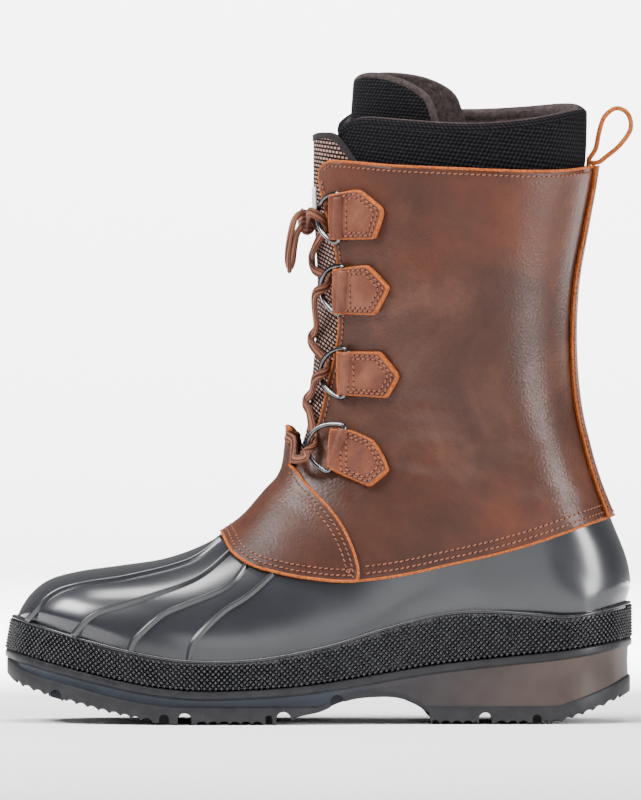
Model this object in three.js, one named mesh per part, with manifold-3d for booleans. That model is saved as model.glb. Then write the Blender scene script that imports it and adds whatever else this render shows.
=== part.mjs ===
// A pac boot for the left foot: a leather shaft sewn to a moulded rubber shell on a lugged outsole,
// with a removable padded liner, a woven tongue, ring lacing and a pull loop.
// Millimetres. +Z is up, the toe points along -X, and the outer (lateral) side of the foot faces -Y.
// The origin is on the floor, under the middle of the outsole.
import * as THREE from 'three';
import { mergeVertices } from 'three/addons/utils/BufferGeometryUtils.js';
import Module from 'manifold-3d';

const wasm = await Module();
wasm.setup();

// Driving dimensions of the boot
const length = 318;           // outsole, toe to heel
const ballWidth = 116;        // outsole across the ball of the foot
const instepHeight = 130;     // floor to the top of the vamp
const shaftRise = 153;        // top of the vamp to the leather collar
const shellSeat = 17.3;       // floor to the underside of the shell at the ball
const heelLift = 26;          // extra height of that underside at the heel
const toeSpring = 19;         // extra height of that underside at the toe
const clearance = 0.3;        // gap between pieces that touch

// Walls and layers, from the leather's outer face, which is the boot's own form
const leather = 2.2;
const vampLeather = 1.6;
const tabLeather = 1.6;       // one layer; a ring tab is folded double
const backstayLeather = 1.8;
const tongueCloth = 1.8;
const shellInset = 0.4;       // shell's skin below the hem, inside the leather's face
const shellWall = 2.8;
const lipWall = 2.5;          // shell's sewing lip, behind the leather's hem
const lipRise = 14;           // reach of the lip above the hem
const lipRoot = 8;            // depth below the hem over which the lip joins the shell
const linerWall = 8.5;
const linerTongueWall = 6;
const insoleFelt = 4;
const insoleInset = 22;       // insole's edge, in from the ledge's
const insoleLift = 0.6;       // insole over the liner's floor

// Side of the sole
const ledgeDepth = 4.4;       // outsole's top ledge
const ledgeStep = 2;          // ledge beyond the outsole's wall
const bandInset = 1.6;        // textured band inside the ledge
const lugDepth = 6;
const grooveWidth = 5.5;

// Throat and front fittings; the cuts of the front reach back to shares of the length
const throatBack = 0.62;
const tongueBack = 0.585;
const slitBack = 0.6;
const slitFoot = 1.45;        // height of the slit's foot, as a share
const vampTabBack = 0.5;
const backstayFront = 0.75;
const backstayLow = 0.7;      // height of its foot, as a share
const throatTop = 24;         // half the widest gap between the quarters
const vampTabWidth = 26;
const vampTabRise = 20;       // vamp's lace tab above the seam
const vampTabSlant = 0.25;    // the tab stands away from the shaft by this share of its rise
const laceHoleRadius = 3.2;
const laceHoleSpread = 16;    // between the two lace holes of the vamp's tab
const laceHoleDrop = 5;       // lace holes below the tab's top
const linerSlit = 26;         // gap in the front of the liner
const backstayTop = 26;       // backstay's width at the collar and at the hem
const backstayFoot = 38;

// Ring, tab, lace and pull loop
const ringHeight = 27.4;
const ringReach = 17;
const ringWire = 1.25;        // radius
const tabHeight = 25;
const tabShoulder = 19;       // fold to the shoulders
const tabTip = 33;            // fold to the tip
const tabBlunt = 5;           // half the width of the blunt tip
const laceRadius = 1.8;
const loopWidth = 14;
const loopLeather = 1.8;
const loopTail = 24;          // loop's tail, sewn in behind the collar

const collarHeight = instepHeight + shaftRise;
const tidyStep = 0.1;         // detail finer than this is smoothed away
const far = 2 * length;       // reach of the cutting bodies, beyond any part of the boot

// Positions are shares: x of the length from the toe, heights of the instep from 0 to 1 and then of the
// shaft from 1 to 2
const xAt = (share) => (share - 0.5) * length;
const heightAt = (rise) => (rise <= 1 ? rise * instepHeight : instepHeight + (rise - 1) * shaftRise);

// Underside of the shell; toe and heel are shares of the toe spring and of the heel lift
const footbedRows = [
  { x: -0.05, toe: 1.3, heel: 0 },
  { x: 0.01, toe: 1, heel: 0 },
  { x: 0.09, toe: 0.64, heel: 0 },
  { x: 0.19, toe: 0.25, heel: 0 },
  { x: 0.26, toe: 0.06, heel: 0 },
  { x: 0.33, toe: 0, heel: 0 },
  { x: 0.43, toe: 0, heel: 0.05 },
  { x: 0.52, toe: 0, heel: 0.17 },
  { x: 0.68, toe: 0, heel: 0.49 },
  { x: 0.8, toe: 0, heel: 0.66 },
  { x: 0.9, toe: 0, heel: 0.79 },
  { x: 1, toe: 0, heel: 1 },
  { x: 1.05, toe: 0, heel: 1.12 },
];

// Tread line, drawn a little past both ends of the ledge; arch is a share of the shell's seat
const treadStretch = 1.02;
const treadRows = [
  { x: 0, toe: 1.36, heel: 0, arch: 0 },
  { x: 0.02, toe: 1.02, heel: 0, arch: 0 },
  { x: 0.06, toe: 0.76, heel: 0, arch: 0 },
  { x: 0.12, toe: 0.48, heel: 0, arch: 0 },
  { x: 0.17, toe: 0.27, heel: 0, arch: 0 },
  { x: 0.22, toe: 0.11, heel: 0, arch: 0 },
  { x: 0.28, toe: 0, heel: 0, arch: 0 },
  { x: 0.43, toe: 0, heel: 0, arch: 0 },
  { x: 0.47, toe: 0, heel: 0, arch: 0.24 },
  { x: 0.505, toe: 0, heel: 0, arch: 0.38 },
  { x: 0.535, toe: 0, heel: 0, arch: 0.62 },
  { x: 0.57, toe: 0, heel: 0, arch: 0.77 },
  { x: 0.62, toe: 0, heel: 0, arch: 0.79 },
  { x: 0.65, toe: 0, heel: 0, arch: 0.62 },
  { x: 0.675, toe: 0, heel: 0, arch: 0.33 },
  { x: 0.692, toe: 0, heel: 0, arch: 0 },
  { x: 0.865, toe: 0, heel: 0, arch: 0 },
  { x: 0.9, toe: 0, heel: 0.08, arch: 0 },
  { x: 0.94, toe: 0, heel: 0.24, arch: 0 },
  { x: 0.975, toe: 0, heel: 0.42, arch: 0 },
  { x: 1, toe: 0, heel: 0.6, arch: 0 },
];

// Plan of the ledge; lateral and medial are shares of the ball width, from the boot's axis
const planRows = [
  { x: 0, lateral: -0.043, medial: 0.043 },
  { x: 0.016, lateral: 0.12, medial: 0.207 },
  { x: 0.047, lateral: 0.233, medial: 0.31 },
  { x: 0.094, lateral: 0.34, medial: 0.401 },
  { x: 0.157, lateral: 0.422, medial: 0.457 },
  { x: 0.226, lateral: 0.476, medial: 0.49 },
  { x: 0.299, lateral: 0.5, medial: 0.5 },
  { x: 0.371, lateral: 0.5, medial: 0.483 },
  { x: 0.456, lateral: 0.483, medial: 0.444 },
  { x: 0.55, lateral: 0.435, medial: 0.397 },
  { x: 0.645, lateral: 0.397, medial: 0.371 },
  { x: 0.739, lateral: 0.384, medial: 0.371 },
  { x: 0.833, lateral: 0.388, medial: 0.384 },
  { x: 0.912, lateral: 0.353, medial: 0.353 },
  { x: 0.959, lateral: 0.267, medial: 0.271 },
  { x: 0.984, lateral: 0.164, medial: 0.168 },
  { x: 1, lateral: 0, medial: 0 },
];

// Sections of the boot's form, fanned from the toe round the heel and up the shaft. Each lies in a plane
// through its front point and its back point; a back with no rise lies on the underside of the shell.
// shift and half are shares of the ball width, wide is where along the section it is widest,
// and front and back round it from an ellipse (2) towards a box (5).
const sectionRows = [
  { frontX: 0.011, frontRise: 0.35, backX: 0.011, backRise: null,
    shift: 0.043, half: 0.06, wide: 0.4, front: 2, back: 2.4 },
  { frontX: 0.02, frontRise: 0.423, backX: 0.017, backRise: null,
    shift: 0.043, half: 0.147, wide: 0.4, front: 2.1, back: 3 },
  { frontX: 0.041, frontRise: 0.502, backX: 0.036, backRise: null,
    shift: 0.041, half: 0.233, wide: 0.38, front: 2.2, back: 3.6 },
  { frontX: 0.072, frontRise: 0.558, backX: 0.066, backRise: null,
    shift: 0.032, half: 0.316, wide: 0.36, front: 2.3, back: 4.2 },
  { frontX: 0.12, frontRise: 0.59, backX: 0.116, backRise: null,
    shift: 0.017, half: 0.384, wide: 0.34, front: 2.35, back: 4.6 },
  { frontX: 0.189, frontRise: 0.614, backX: 0.189, backRise: null,
    shift: 0.01, half: 0.434, wide: 0.32, front: 2.3, back: 4.8 },
  { frontX: 0.255, frontRise: 0.64, backX: 0.267, backRise: null,
    shift: 0.003, half: 0.466, wide: 0.3, front: 2.2, back: 4.8 },
  { frontX: 0.317, frontRise: 0.695, backX: 0.355, backRise: null,
    shift: -0.005, half: 0.466, wide: 0.27, front: 2, back: 4.6 },
  { frontX: 0.3752, frontRise: 0.782, backX: 0.45, backRise: null,
    shift: -0.015, half: 0.44, wide: 0.25, front: 1.9, back: 4.2 },
  { frontX: 0.416, frontRise: 0.89, backX: 0.557, backRise: null,
    shift: -0.019, half: 0.4, wide: 0.26, front: 1.9, back: 3.8 },
  { frontX: 0.4465, frontRise: 0.973, backX: 0.676, backRise: null,
    shift: -0.016, half: 0.366, wide: 0.3, front: 1.9, back: 3.6 },
  { frontX: 0.4623, frontRise: 1.052, backX: 0.796, backRise: null,
    shift: -0.01, half: 0.358, wide: 0.34, front: 1.85, back: 3.5 },
  { frontX: 0.4748, frontRise: 1.137, backX: 0.903, backRise: null,
    shift: -0.007, half: 0.362, wide: 0.38, front: 1.8, back: 3.4 },
  { frontX: 0.48, frontRise: 1.229, backX: 0.98, backRise: null,
    shift: -0.003, half: 0.366, wide: 0.4, front: 1.8, back: 3 },
  { frontX: 0.483, frontRise: 1.314, backX: 0.999, backRise: 0.446,
    shift: 0, half: 0.371, wide: 0.42, front: 1.8, back: 2.5 },
  { frontX: 0.487, frontRise: 1.405, backX: 0.995, backRise: 0.615,
    shift: 0, half: 0.375, wide: 0.43, front: 1.8, back: 2.3 },
  { frontX: 0.49, frontRise: 1.497, backX: 0.968, backRise: 0.792,
    shift: 0, half: 0.384, wide: 0.44, front: 1.8, back: 2.2 },
  { frontX: 0.4905, frontRise: 1.595, backX: 0.939, backRise: 0.98,
    shift: 0, half: 0.397, wide: 0.44, front: 1.8, back: 2.2 },
  { frontX: 0.489, frontRise: 1.693, backX: 0.915, backRise: 1.183,
    shift: 0, half: 0.41, wide: 0.44, front: 1.8, back: 2.15 },
  { frontX: 0.486, frontRise: 1.791, backX: 0.906, backRise: 1.392,
    shift: 0, half: 0.422, wide: 0.44, front: 1.8, back: 2.15 },
  { frontX: 0.484, frontRise: 1.889, backX: 0.91, backRise: 1.601,
    shift: 0, half: 0.435, wide: 0.44, front: 1.8, back: 2.15 },
  { frontX: 0.484, frontRise: 1.987, backX: 0.926, backRise: 1.797,
    shift: 0, half: 0.448, wide: 0.44, front: 1.8, back: 2.15 },
  { frontX: 0.484, frontRise: 2.09, backX: 0.941, backRise: 1.98,
    shift: 0, half: 0.461, wide: 0.44, front: 1.8, back: 2.15 },
  { frontX: 0.484, frontRise: 2.21, backX: 0.945, backRise: 2.144,
    shift: 0, half: 0.47, wide: 0.44, front: 1.8, back: 2.15 },
  { frontX: 0.484, frontRise: 2.36, backX: 0.945, backRise: 2.36,
    shift: 0, half: 0.474, wide: 0.44, front: 1.8, back: 2.15 },
];
const roomStart = 2;          // the liner's room starts at this section, and takes every other one
const around = 20;            // points round each section

// Lines in the side view
const hemRows = [
  { x: 0.3, rise: 0.87 },
  { x: 0.346, rise: 0.739 },
  { x: 0.359, rise: 0.677 },
  { x: 0.39, rise: 0.622 },
  { x: 0.428, rise: 0.593 },
  { x: 0.48, rise: 0.568 },
  { x: 0.549, rise: 0.554 },
  { x: 0.628, rise: 0.575 },
  { x: 0.698, rise: 0.612 },
  { x: 0.78, rise: 0.657 },
  { x: 0.855, rise: 0.71 },
  { x: 0.945, rise: 0.785 },
  { x: 1.05, rise: 0.85 },
];
const collarRows = [
  { x: 0.3, rise: 2.01 },
  { x: 0.5, rise: 2.01 },
  { x: 0.56, rise: 2.004 },
  { x: 0.62, rise: 1.994 },
  { x: 0.72, rise: 1.985 },
  { x: 0.82, rise: 1.977 },
  { x: 0.89, rise: 1.978 },
  { x: 0.935, rise: 1.989 },
  { x: 1.05, rise: 2.02 },
];
const bandRows = [
  { x: -0.05, rise: 0.44 },
  { x: 0.01, rise: 0.41 },
  { x: 0.11, rise: 0.343 },
  { x: 0.2, rise: 0.288 },
  { x: 0.29, rise: 0.254 },
  { x: 0.4, rise: 0.258 },
  { x: 0.51, rise: 0.306 },
  { x: 0.6, rise: 0.372 },
  { x: 0.69, rise: 0.43 },
  { x: 0.76, rise: 0.444 },
  { x: 0.84, rise: 0.434 },
  { x: 0.9, rise: 0.424 },
  { x: 0.96, rise: 0.45 },
  { x: 1.05, rise: 0.5 },
];
const vampSeamRows = [
  { x: 0.548, rise: 0.5 },
  { x: 0.563, rise: 0.569 },
  { x: 0.562, rise: 0.618 },
  { x: 0.554, rise: 0.684 },
  { x: 0.538, rise: 0.768 },
  { x: 0.517, rise: 0.838 },
  { x: 0.496, rise: 0.892 },
  { x: 0.476, rise: 0.942 },
  { x: 0.464, rise: 0.982 },
  { x: 0.45, rise: 1.01 },
];
const throatRows = [
  { rise: 1.02, half: 0.42 },
  { rise: 1.1, half: 0.57 },
  { rise: 1.275, half: 0.69 },
  { rise: 1.47, half: 0.9 },
  { rise: 1.69, half: 1 },
  { rise: 1.84, half: 0.86 },
  { rise: 1.96, half: 0.7 },
  { rise: 2.05, half: 0.86 },
];

// Raised ribs of the rubber toe, each from the hem forward and down to the band
const ribRows = [
  [{ x: 0.346, rise: 0.72 }, { x: 0.293, rise: 0.632 }, { x: 0.199, rise: 0.572 }, { x: 0.089, rise: 0.52 },
    { x: 0.036, rise: 0.4 }],
  [{ x: 0.362, rise: 0.675 }, { x: 0.303, rise: 0.564 }, { x: 0.199, rise: 0.474 }, { x: 0.143, rise: 0.428 },
    { x: 0.109, rise: 0.345 }],
  [{ x: 0.387, rise: 0.627 }, { x: 0.355, rise: 0.538 }, { x: 0.286, rise: 0.466 }, { x: 0.251, rise: 0.428 },
    { x: 0.208, rise: 0.331 }, { x: 0.2, rise: 0.28 }],
  [{ x: 0.428, rise: 0.59 }, { x: 0.389, rise: 0.505 }, { x: 0.346, rise: 0.437 }, { x: 0.303, rise: 0.327 },
    { x: 0.294, rise: 0.25 }],
];
const ribWidth = 2.6;
const ribHeight = 1.2;

// Grooves of the tread; a through groove crosses the sole, the others are notches in its two edges
const grooveRows = [
  { x: 0.082, through: false },
  { x: 0.255, through: false },
  { x: 0.284, through: true },
  { x: 0.44, through: true },
  { x: 0.764, through: true },
  { x: 0.846, through: false },
];
const notchReach = 14;        // notches, in from the edge of the tread
const lugBand = 9;            // lugs stand proud of the outsole's wall over this height
const lugStep = 0.9;
const bandLean = 6.1;         // band's lean at the toe, over the height of its body
const bandBody = 27.7;        // height of that body, before its top is cut
const leanStretch = 1.1;      // the lean's rows are drawn past both ends of the ledge
const leanRows = [
  { x: 0, lean: 1 },
  { x: 0.05, lean: 0.95 },
  { x: 0.16, lean: 0.6 },
  { x: 0.3, lean: 0.4 },
  { x: 0.6, lean: 0.3 },
  { x: 0.9, lean: 0.1 },
  { x: 1, lean: 0 },
];

// Tops of the soft pieces in the side view
const tongueTopRows = [
  { x: 0.44, rise: 2.03 },
  { x: 0.479, rise: 2.04 },
  { x: 0.49, rise: 2.09 },
  { x: 0.509, rise: 2.1 },
  { x: 0.525, rise: 2.09 },
  { x: 0.541, rise: 2.05 },
  { x: 0.558, rise: 2.0 },
  { x: 0.59, rise: 1.9 },
];
const linerRimRows = [
  { x: 0.42, rise: 1.98 },
  { x: 0.5, rise: 2.06 },
  { x: 0.512, rise: 2.12 },
  { x: 0.53, rise: 2.15 },
  { x: 0.63, rise: 2.147 },
  { x: 0.74, rise: 2.14 },
  { x: 0.86, rise: 2.158 },
  { x: 0.91, rise: 2.173 },
  { x: 0.94, rise: 2.14 },
  { x: 1, rise: 2.0 },
];
const linerTongueRows = [
  { x: 0.64, rise: 1.5 },
  { x: 0.665, rise: 1.7 },
  { x: 0.685, rise: 1.95 },
  { x: 0.682, rise: 2.14 },
  { x: 0.66, rise: 2.225 },
  { x: 0.62, rise: 2.285 },
  { x: 0.57, rise: 2.305 },
  { x: 0.54, rise: 2.3 },
  { x: 0.5, rise: 2.27 },
];
const rimTilt = 0.054;        // the liner's far side stands higher
const tongueSkew = 0.19;      // the liner tongue's far side sits further back
const tongueLean = 0.07;      // and its top leans back

// Ring tabs by where their fold lies on the form; turn is the tab's droop towards its tip and tuck the lean
// of its ring towards the boot, in degrees. A tab wraps the form, so it reaches less far in a straight line.
const tabWrap = 0.94;
const tabRows = [
  { x: 0.54, rise: 1.822, turn: 0, tuck: 10 },
  { x: 0.546, rise: 1.582, turn: 3, tuck: 10 },
  { x: 0.549, rise: 1.307, turn: 4, tuck: 10 },
  { x: 0.534, rise: 1.052, turn: 20, tuck: 0 },
];

// Lace's route from the vamp's tab to the lowest rings, and its crossings on the centre line;
// lift is the height of the lace's middle over the form, in widths of the lace
const laceThickness = 2;
const laceWidth = 4.6;
const cordCrown = 1.15;       // makes up for the flats of the cord's six-sided section
const cordSplit = 1.3;        // sections of the cord for each of its stations
const laceTurnRows = [
  { across: 0.088, rise: 1.07, lift: 1.52 },
  { across: 0.11, rise: 1.03, lift: 1.35 },
  { across: 0.14, rise: 1, lift: 1.96 },
  { across: 0.176, rise: 1.004, lift: 2.83 },
];
const crossingRise = [1.21, 1.42, 1.68];
const crossingLift = 0.7;     // the crossing strands' middles, over and under the form
const crossingSpan = 9;       // half the stretch of a crossing that lies on the tongue
const crossingSlope = 0.035;  // its rise over that half
const lowRingTurns = [124, 80];
const ringTurns = [108, 72];
const topRingTurns = [112, 80];
const knotHalf = { x: 2.8, y: 6, z: 5.5 };
const knotLift = 0.9;         // knot's middle over the form
const knotRise = 1.805;
const laceLoopRows = [
  { x: 0.479, rise: 1.835, y: 0.06 },
  { x: 0.471, rise: 1.838, y: 0.085 },
  { x: 0.462, rise: 1.815, y: 0.112 },
  { x: 0.456, rise: 1.77, y: 0.135 },
  { x: 0.452, rise: 1.715, y: 0.145 },
  { x: 0.4515, rise: 1.673, y: 0.138 },
  { x: 0.454, rise: 1.65, y: 0.115 },
  { x: 0.458, rise: 1.672, y: 0.092 },
  { x: 0.461, rise: 1.72, y: 0.084 },
  { x: 0.465, rise: 1.765, y: 0.074 },
  { x: 0.472, rise: 1.79, y: 0.06 },
];

// Pull loop in the side view
const loopRows = [
  { x: 0.9305, rise: 2.008 },
  { x: 0.942, rise: 2.05 },
  { x: 0.948, rise: 2.11 },
  { x: 0.957, rise: 2.158 },
  { x: 0.975, rise: 2.183 },
  { x: 0.993, rise: 2.165 },
  { x: 0.9975, rise: 2.115 },
  { x: 0.98, rise: 2.06 },
  { x: 0.958, rise: 2.022 },
  { x: 0.946, rise: 2.004 },
];

// Layers under and over the form, each a clearance from the next
const upperInner = -leather;
const tongueOuter = upperInner - clearance;
const tongueInner = tongueOuter - tongueCloth;
const lipInner = tongueOuter - lipWall;
const shellInner = -shellInset - shellWall;
const linerOuter = lipInner - clearance;
const linerInner = linerOuter - linerWall;
const bootieOuter = shellInner - clearance;
const bootieInner = bootieOuter - linerWall;
const linerTongueOuter = linerInner - 2 * clearance;
const vampOuter = clearance + vampLeather;
const tabInner = 2 * clearance;
const tabOuter = tabInner + 2 * tabLeather;
const vampTabFoot = heightAt(1) - vampTabRise / 3;
const vampTabTop = heightAt(1) + vampTabRise;
const laceHoleLevel = vampTabTop - laceHoleDrop;
const rollRadius = ringWire + clearance + tabLeather;
const rollLift = tabInner + rollRadius;

// A closed body with its shared vertices merged, made a solid for cutting and joining
function solidOf(geometry) {
  const bare = geometry.clone();
  bare.deleteAttribute('normal');
  bare.deleteAttribute('uv');
  const merged = mergeVertices(bare, 1e-5);
  const mesh = new wasm.Mesh({
    numProp: 3,
    vertProperties: Float32Array.from(merged.attributes.position.array),
    triVerts: Uint32Array.from(merged.index.array),
  });
  return new wasm.Manifold(mesh);
}

// Skin over rings of points with equal counts, its ends closed round their centres
function skin(rings) {
  const count = rings[0].length;
  const centre = (ring) => ring.reduce((sum, point) => sum.add(point), new THREE.Vector3()).divideScalar(count);
  const last = rings.length - 1;
  const points = [...rings.flat(), centre(rings[0]), centre(rings[last])];
  const faces = [];
  for (let column = 0; column < count; column += 1) {
    const next = (column + 1) % count;
    for (let row = 0; row < last; row += 1) {
      const near = row * count;
      const away = near + count;
      faces.push([near + column, away + column, away + next], [near + column, away + next, near + next]);
    }
    faces.push([rings.length * count, column, next]);
    faces.push([rings.length * count + 1, last * count + next, last * count + column]);
  }
  const volume = faces.reduce((sum, [a, b, c]) => sum + points[a].dot(points[b].clone().cross(points[c])), 0);
  const outward = volume < 0 ? faces.map(([a, b, c]) => [a, c, b]) : faces;
  return new THREE.BufferGeometry().setFromPoints(points).setIndex(outward.flat());
}

// Lines of the side view, as points of a smooth curve, and a line's height at x
const curveOf = (rows, height) => new THREE.SplineCurve(
  rows.map((row) => new THREE.Vector2(xAt(row.x), height(row))),
).getPoints(rows.length - 1);
const riseOf = (row) => heightAt(row.rise);
function levelAt(line, x) {
  const after = Math.max(1, line.findIndex((point) => point.x >= x));
  const [a, b] = [line[after - 1], line[after]];
  return THREE.MathUtils.mapLinear(x, a.x, b.x, a.y, b.y);
}
const footbed = curveOf(footbedRows, (row) => shellSeat + row.toe * toeSpring + row.heel * heelLift);
const treadPoints = (lift, arch) => treadRows.map((row) => new THREE.Vector2(
  xAt(row.x) * treadStretch,
  row.toe * toeSpring + row.heel * heelLift + arch * row.arch * shellSeat + lift,
));
const hem = curveOf(hemRows, riseOf);
const collar = curveOf(collarRows, riseOf);
const bandTop = curveOf(bandRows, riseOf);

// Cutting bodies: right through the boot from the side, from the front and from above
function sidePrism(points) {
  const geometry = new THREE.ExtrudeGeometry(new THREE.Shape(points), { depth: 2 * far, bevelEnabled: false });
  return solidOf(geometry.rotateX(Math.PI / 2).translate(0, far, 0));
}
function frontPrism(points, startX, endX) {
  const depth = endX - startX;
  const geometry = new THREE.ExtrudeGeometry(new THREE.Shape(points), { depth, bevelEnabled: false });
  const turn = new THREE.Matrix4().makeBasis(
    new THREE.Vector3(0, 1, 0),
    new THREE.Vector3(0, 0, 1),
    new THREE.Vector3(1, 0, 0),
  );
  return solidOf(geometry.applyMatrix4(turn).translate(startX, 0, 0));
}
function planPrism(points) {
  const geometry = new THREE.ExtrudeGeometry(new THREE.Shape(points), { depth: far, bevelEnabled: false });
  return solidOf(geometry.translate(0, 0, -toeSpring));
}
function below(line, lift = 0) {
  const points = line.map((point) => new THREE.Vector2(point.x, point.y + lift));
  return sidePrism([...points, new THREE.Vector2(far, points.at(-1).y), new THREE.Vector2(far, -far),
    new THREE.Vector2(-far, -far), new THREE.Vector2(-far, points[0].y)]);
}
function above(line, lift = 0) {
  const points = line.map((point) => new THREE.Vector2(point.x, point.y + lift));
  return sidePrism([...points, new THREE.Vector2(far, points.at(-1).y), new THREE.Vector2(far, far),
    new THREE.Vector2(-far, far), new THREE.Vector2(-far, points[0].y)]);
}
const box = (low, high) => solidOf(
  new THREE.BoxGeometry(high[0] - low[0], high[1] - low[1], high[2] - low[2])
    .translate((high[0] + low[0]) / 2, (high[1] + low[1]) / 2, (high[2] + low[2]) / 2),
);
// Slant a body: rows of the matrix for x and z, by y and z
function slant(solid, { xByY = 0, xByZ = 0, zByY = 0, level = 0 }) {
  const matrix = new THREE.Matrix4().set(1, xByY, xByZ, -xByZ * level, 0, 1, 0, 0, 0, zByY, 1, 0, 0, 0, 0, 1);
  return solid.transform(matrix.elements);
}

// The boot's form: a skin over its sections, moved out or in along its own normals
function sectionRing(row) {
  const front = new THREE.Vector2(xAt(row.frontX), heightAt(row.frontRise));
  const backX = xAt(row.backX);
  const backZ = row.backRise === null ? levelAt(footbed, backX) : heightAt(row.backRise);
  const back = new THREE.Vector2(backX, backZ);
  return Array.from({ length: around }, (_, index) => {
    const turn = (2 * Math.PI * index) / around;
    const reach = Math.cos(turn);
    const spread = Math.sin(turn);
    const power = 2 / (reach > 0 ? row.front : row.back);
    const share = reach > 0 ? 1 - row.wide : row.wide;
    const middle = back.clone().lerp(front, row.wide + share * Math.sign(reach) * Math.abs(reach) ** power);
    const across = (row.shift + row.half * Math.sign(spread) * Math.abs(spread) ** power) * ballWidth;
    return new THREE.Vector3(middle.x, across, middle.y);
  });
}
const bodyRings = sectionRows.map(sectionRing);
const roomRings = bodyRings.filter((_, index) => index >= roomStart && index % 2 === 0);
function formSkin(offset, rings = bodyRings) {
  const geometry = skin(rings);
  geometry.computeVertexNormals();
  const { position, normal } = geometry.attributes;
  const point = new THREE.Vector3();
  const out = new THREE.Vector3();
  for (let index = 0; index < position.count; index += 1) {
    out.fromBufferAttribute(normal, index);
    point.fromBufferAttribute(position, index).addScaledVector(out, offset);
    position.setXYZ(index, point.x, point.y, point.z);
  }
  return geometry;
}
const form = (offset, rings) => solidOf(formSkin(offset, rings));
const wall = (outer, inner, rings) => form(outer, rings).subtract(form(inner, rings));
// The deepest walls leave loose slivers where the form turns tightly: only the main body is kept
const larger = (one, other) => (other.volume() > one.volume() ? other : one);
const mainBody = (solid) => solid.decompose().reduce(larger);

// Where a line meets the form, with the normal there: across the boot at a side-view place, or along its middle
const formMesh = new THREE.Mesh(formSkin(0), new THREE.MeshBasicMaterial({ side: THREE.DoubleSide }));
function meet(origin, direction) {
  const [hit] = new THREE.Raycaster(origin, direction).intersectObject(formMesh);
  return { point: hit.point, out: hit.normal.clone().normalize() };
}
const onSide = (x, z, side) => meet(new THREE.Vector3(x, side * far, z), new THREE.Vector3(0, -side, 0));
const onNose = (y, z) => meet(new THREE.Vector3(-far, y, z), new THREE.Vector3(1, 0, 0));
const onFront = (z) => onNose(0, z);
const lifted = (place, lift) => place.point.clone().addScaledVector(place.out, lift);

// Outline of the sole in plan, drawn in by an inset that may change along the boot
const planCurve = new THREE.CatmullRomCurve3([
  new THREE.Vector3(xAt(0), planRows[0].medial * ballWidth, 0),
  ...planRows.slice(1, -1).map((row) => new THREE.Vector3(xAt(row.x), -row.lateral * ballWidth, 0)),
  new THREE.Vector3(xAt(1), 0, 0),
  ...planRows.slice(1, -1).reverse().map((row) => new THREE.Vector3(xAt(row.x), row.medial * ballWidth, 0)),
], true);
function outline(insetAt) {
  const count = 1.25 * planCurve.points.length;
  return Array.from({ length: count }, (_, index) => {
    const point = planCurve.getPoint(index / count);
    const tangent = planCurve.getTangent(index / count);
    const inset = insetAt(point.x);
    return new THREE.Vector2(point.x - tangent.y * inset, point.y + tangent.x * inset);
  });
}

// Outsole: ledge, wall and lugs under the footbed line, with grooves and edge notches
function groove(x) {
  const tread = treadPoints(0, 1);
  const top = levelAt(tread, x) + lugDepth;
  const half = grooveWidth / 2;
  const crown = Array.from({ length: 5 }, (_, index) => {
    const turn = (Math.PI * index) / 4;
    return new THREE.Vector2(x + half * Math.cos(turn), top - half + half * Math.sin(turn));
  });
  return sidePrism([new THREE.Vector2(x - half, -far), new THREE.Vector2(x + half, -far), ...crown]);
}
function makeOutsole() {
  const top = -clearance;
  const ledge = planPrism(outline(() => 0))
    .intersect(below(footbed, top))
    .intersect(above(footbed, top - ledgeDepth));
  const wallBody = planPrism(outline(() => ledgeStep)).intersect(below(footbed, top - ledgeDepth / 2));
  const lugs = planPrism(outline(() => lugStep))
    .intersect(below(treadPoints(lugBand, 0)))
    .intersect(below(footbed, top - ledgeDepth));
  const edge = planPrism(outline(() => 0)).subtract(planPrism(outline(() => notchReach)));
  const bands = [[0.13, 0.43], [0.7, 0.86]].map(([start, end]) => box(
    [xAt(start), -grooveWidth / 2, -far],
    [xAt(end), grooveWidth / 2, far],
  ).intersect(below(treadPoints(lugDepth - 1, 1))));
  let sole = ledge.add(wallBody.add(lugs).intersect(above(treadPoints(0, 1))));
  grooveRows.forEach(({ x, through }) => {
    const cut = groove(xAt(x));
    sole = sole.subtract(through ? cut : cut.intersect(edge));
  });
  return bands.reduce((body, band) => body.subtract(band), sole);
}

// Rubber shell: the form's skin above the footbed, the band round it, the toe's ribs and the sewing lip
function ribStrip(rows) {
  const points = curveOf(rows, riseOf);
  const side = (sign) => points.map((point, index) => {
    const before = points[Math.max(0, index - 1)];
    const after = points[Math.min(points.length - 1, index + 1)];
    const along = after.clone().sub(before).normalize();
    const half = (sign * ribWidth) / 2;
    return new THREE.Vector2(point.x - along.y * half, point.y + along.x * half);
  });
  return sidePrism([...side(1), ...side(-1).reverse()]);
}
function makeShell() {
  const leanLine = leanRows.map((row) => new THREE.Vector2(xAt(row.x) * leanStretch, row.lean));
  const bandAt = (inset, lift) => outline(inset)
    .map((point) => new THREE.Vector3(point.x, point.y, levelAt(footbed, point.x) + lift));
  const foot = bandAt(() => bandInset / 2, -ledgeDepth);
  const head = bandAt((x) => bandInset / 2 + bandLean * levelAt(leanLine, x), bandBody);
  const band = solidOf(skin([foot, head])).intersect(below(bandTop));
  const skinBody = form(-shellInset);
  const ribs = ribRows.map(ribStrip)
    .reduce((all, strip) => all.add(strip))
    .intersect(form(ribHeight - shellInset));
  const outer = skinBody.add(ribs).intersect(below(hem)).add(band).intersect(above(footbed));
  const inner = bodyRings.slice(1);
  const room = form(shellInner, inner).intersect(below(hem, -lipRoot)).add(form(lipInner, inner));
  const lip = form(tongueOuter).subtract(form(lipInner, inner))
    .intersect(above(hem, -lipRoot))
    .intersect(below(hem, lipRise));
  return outer.subtract(room).add(lip);
}

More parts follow.
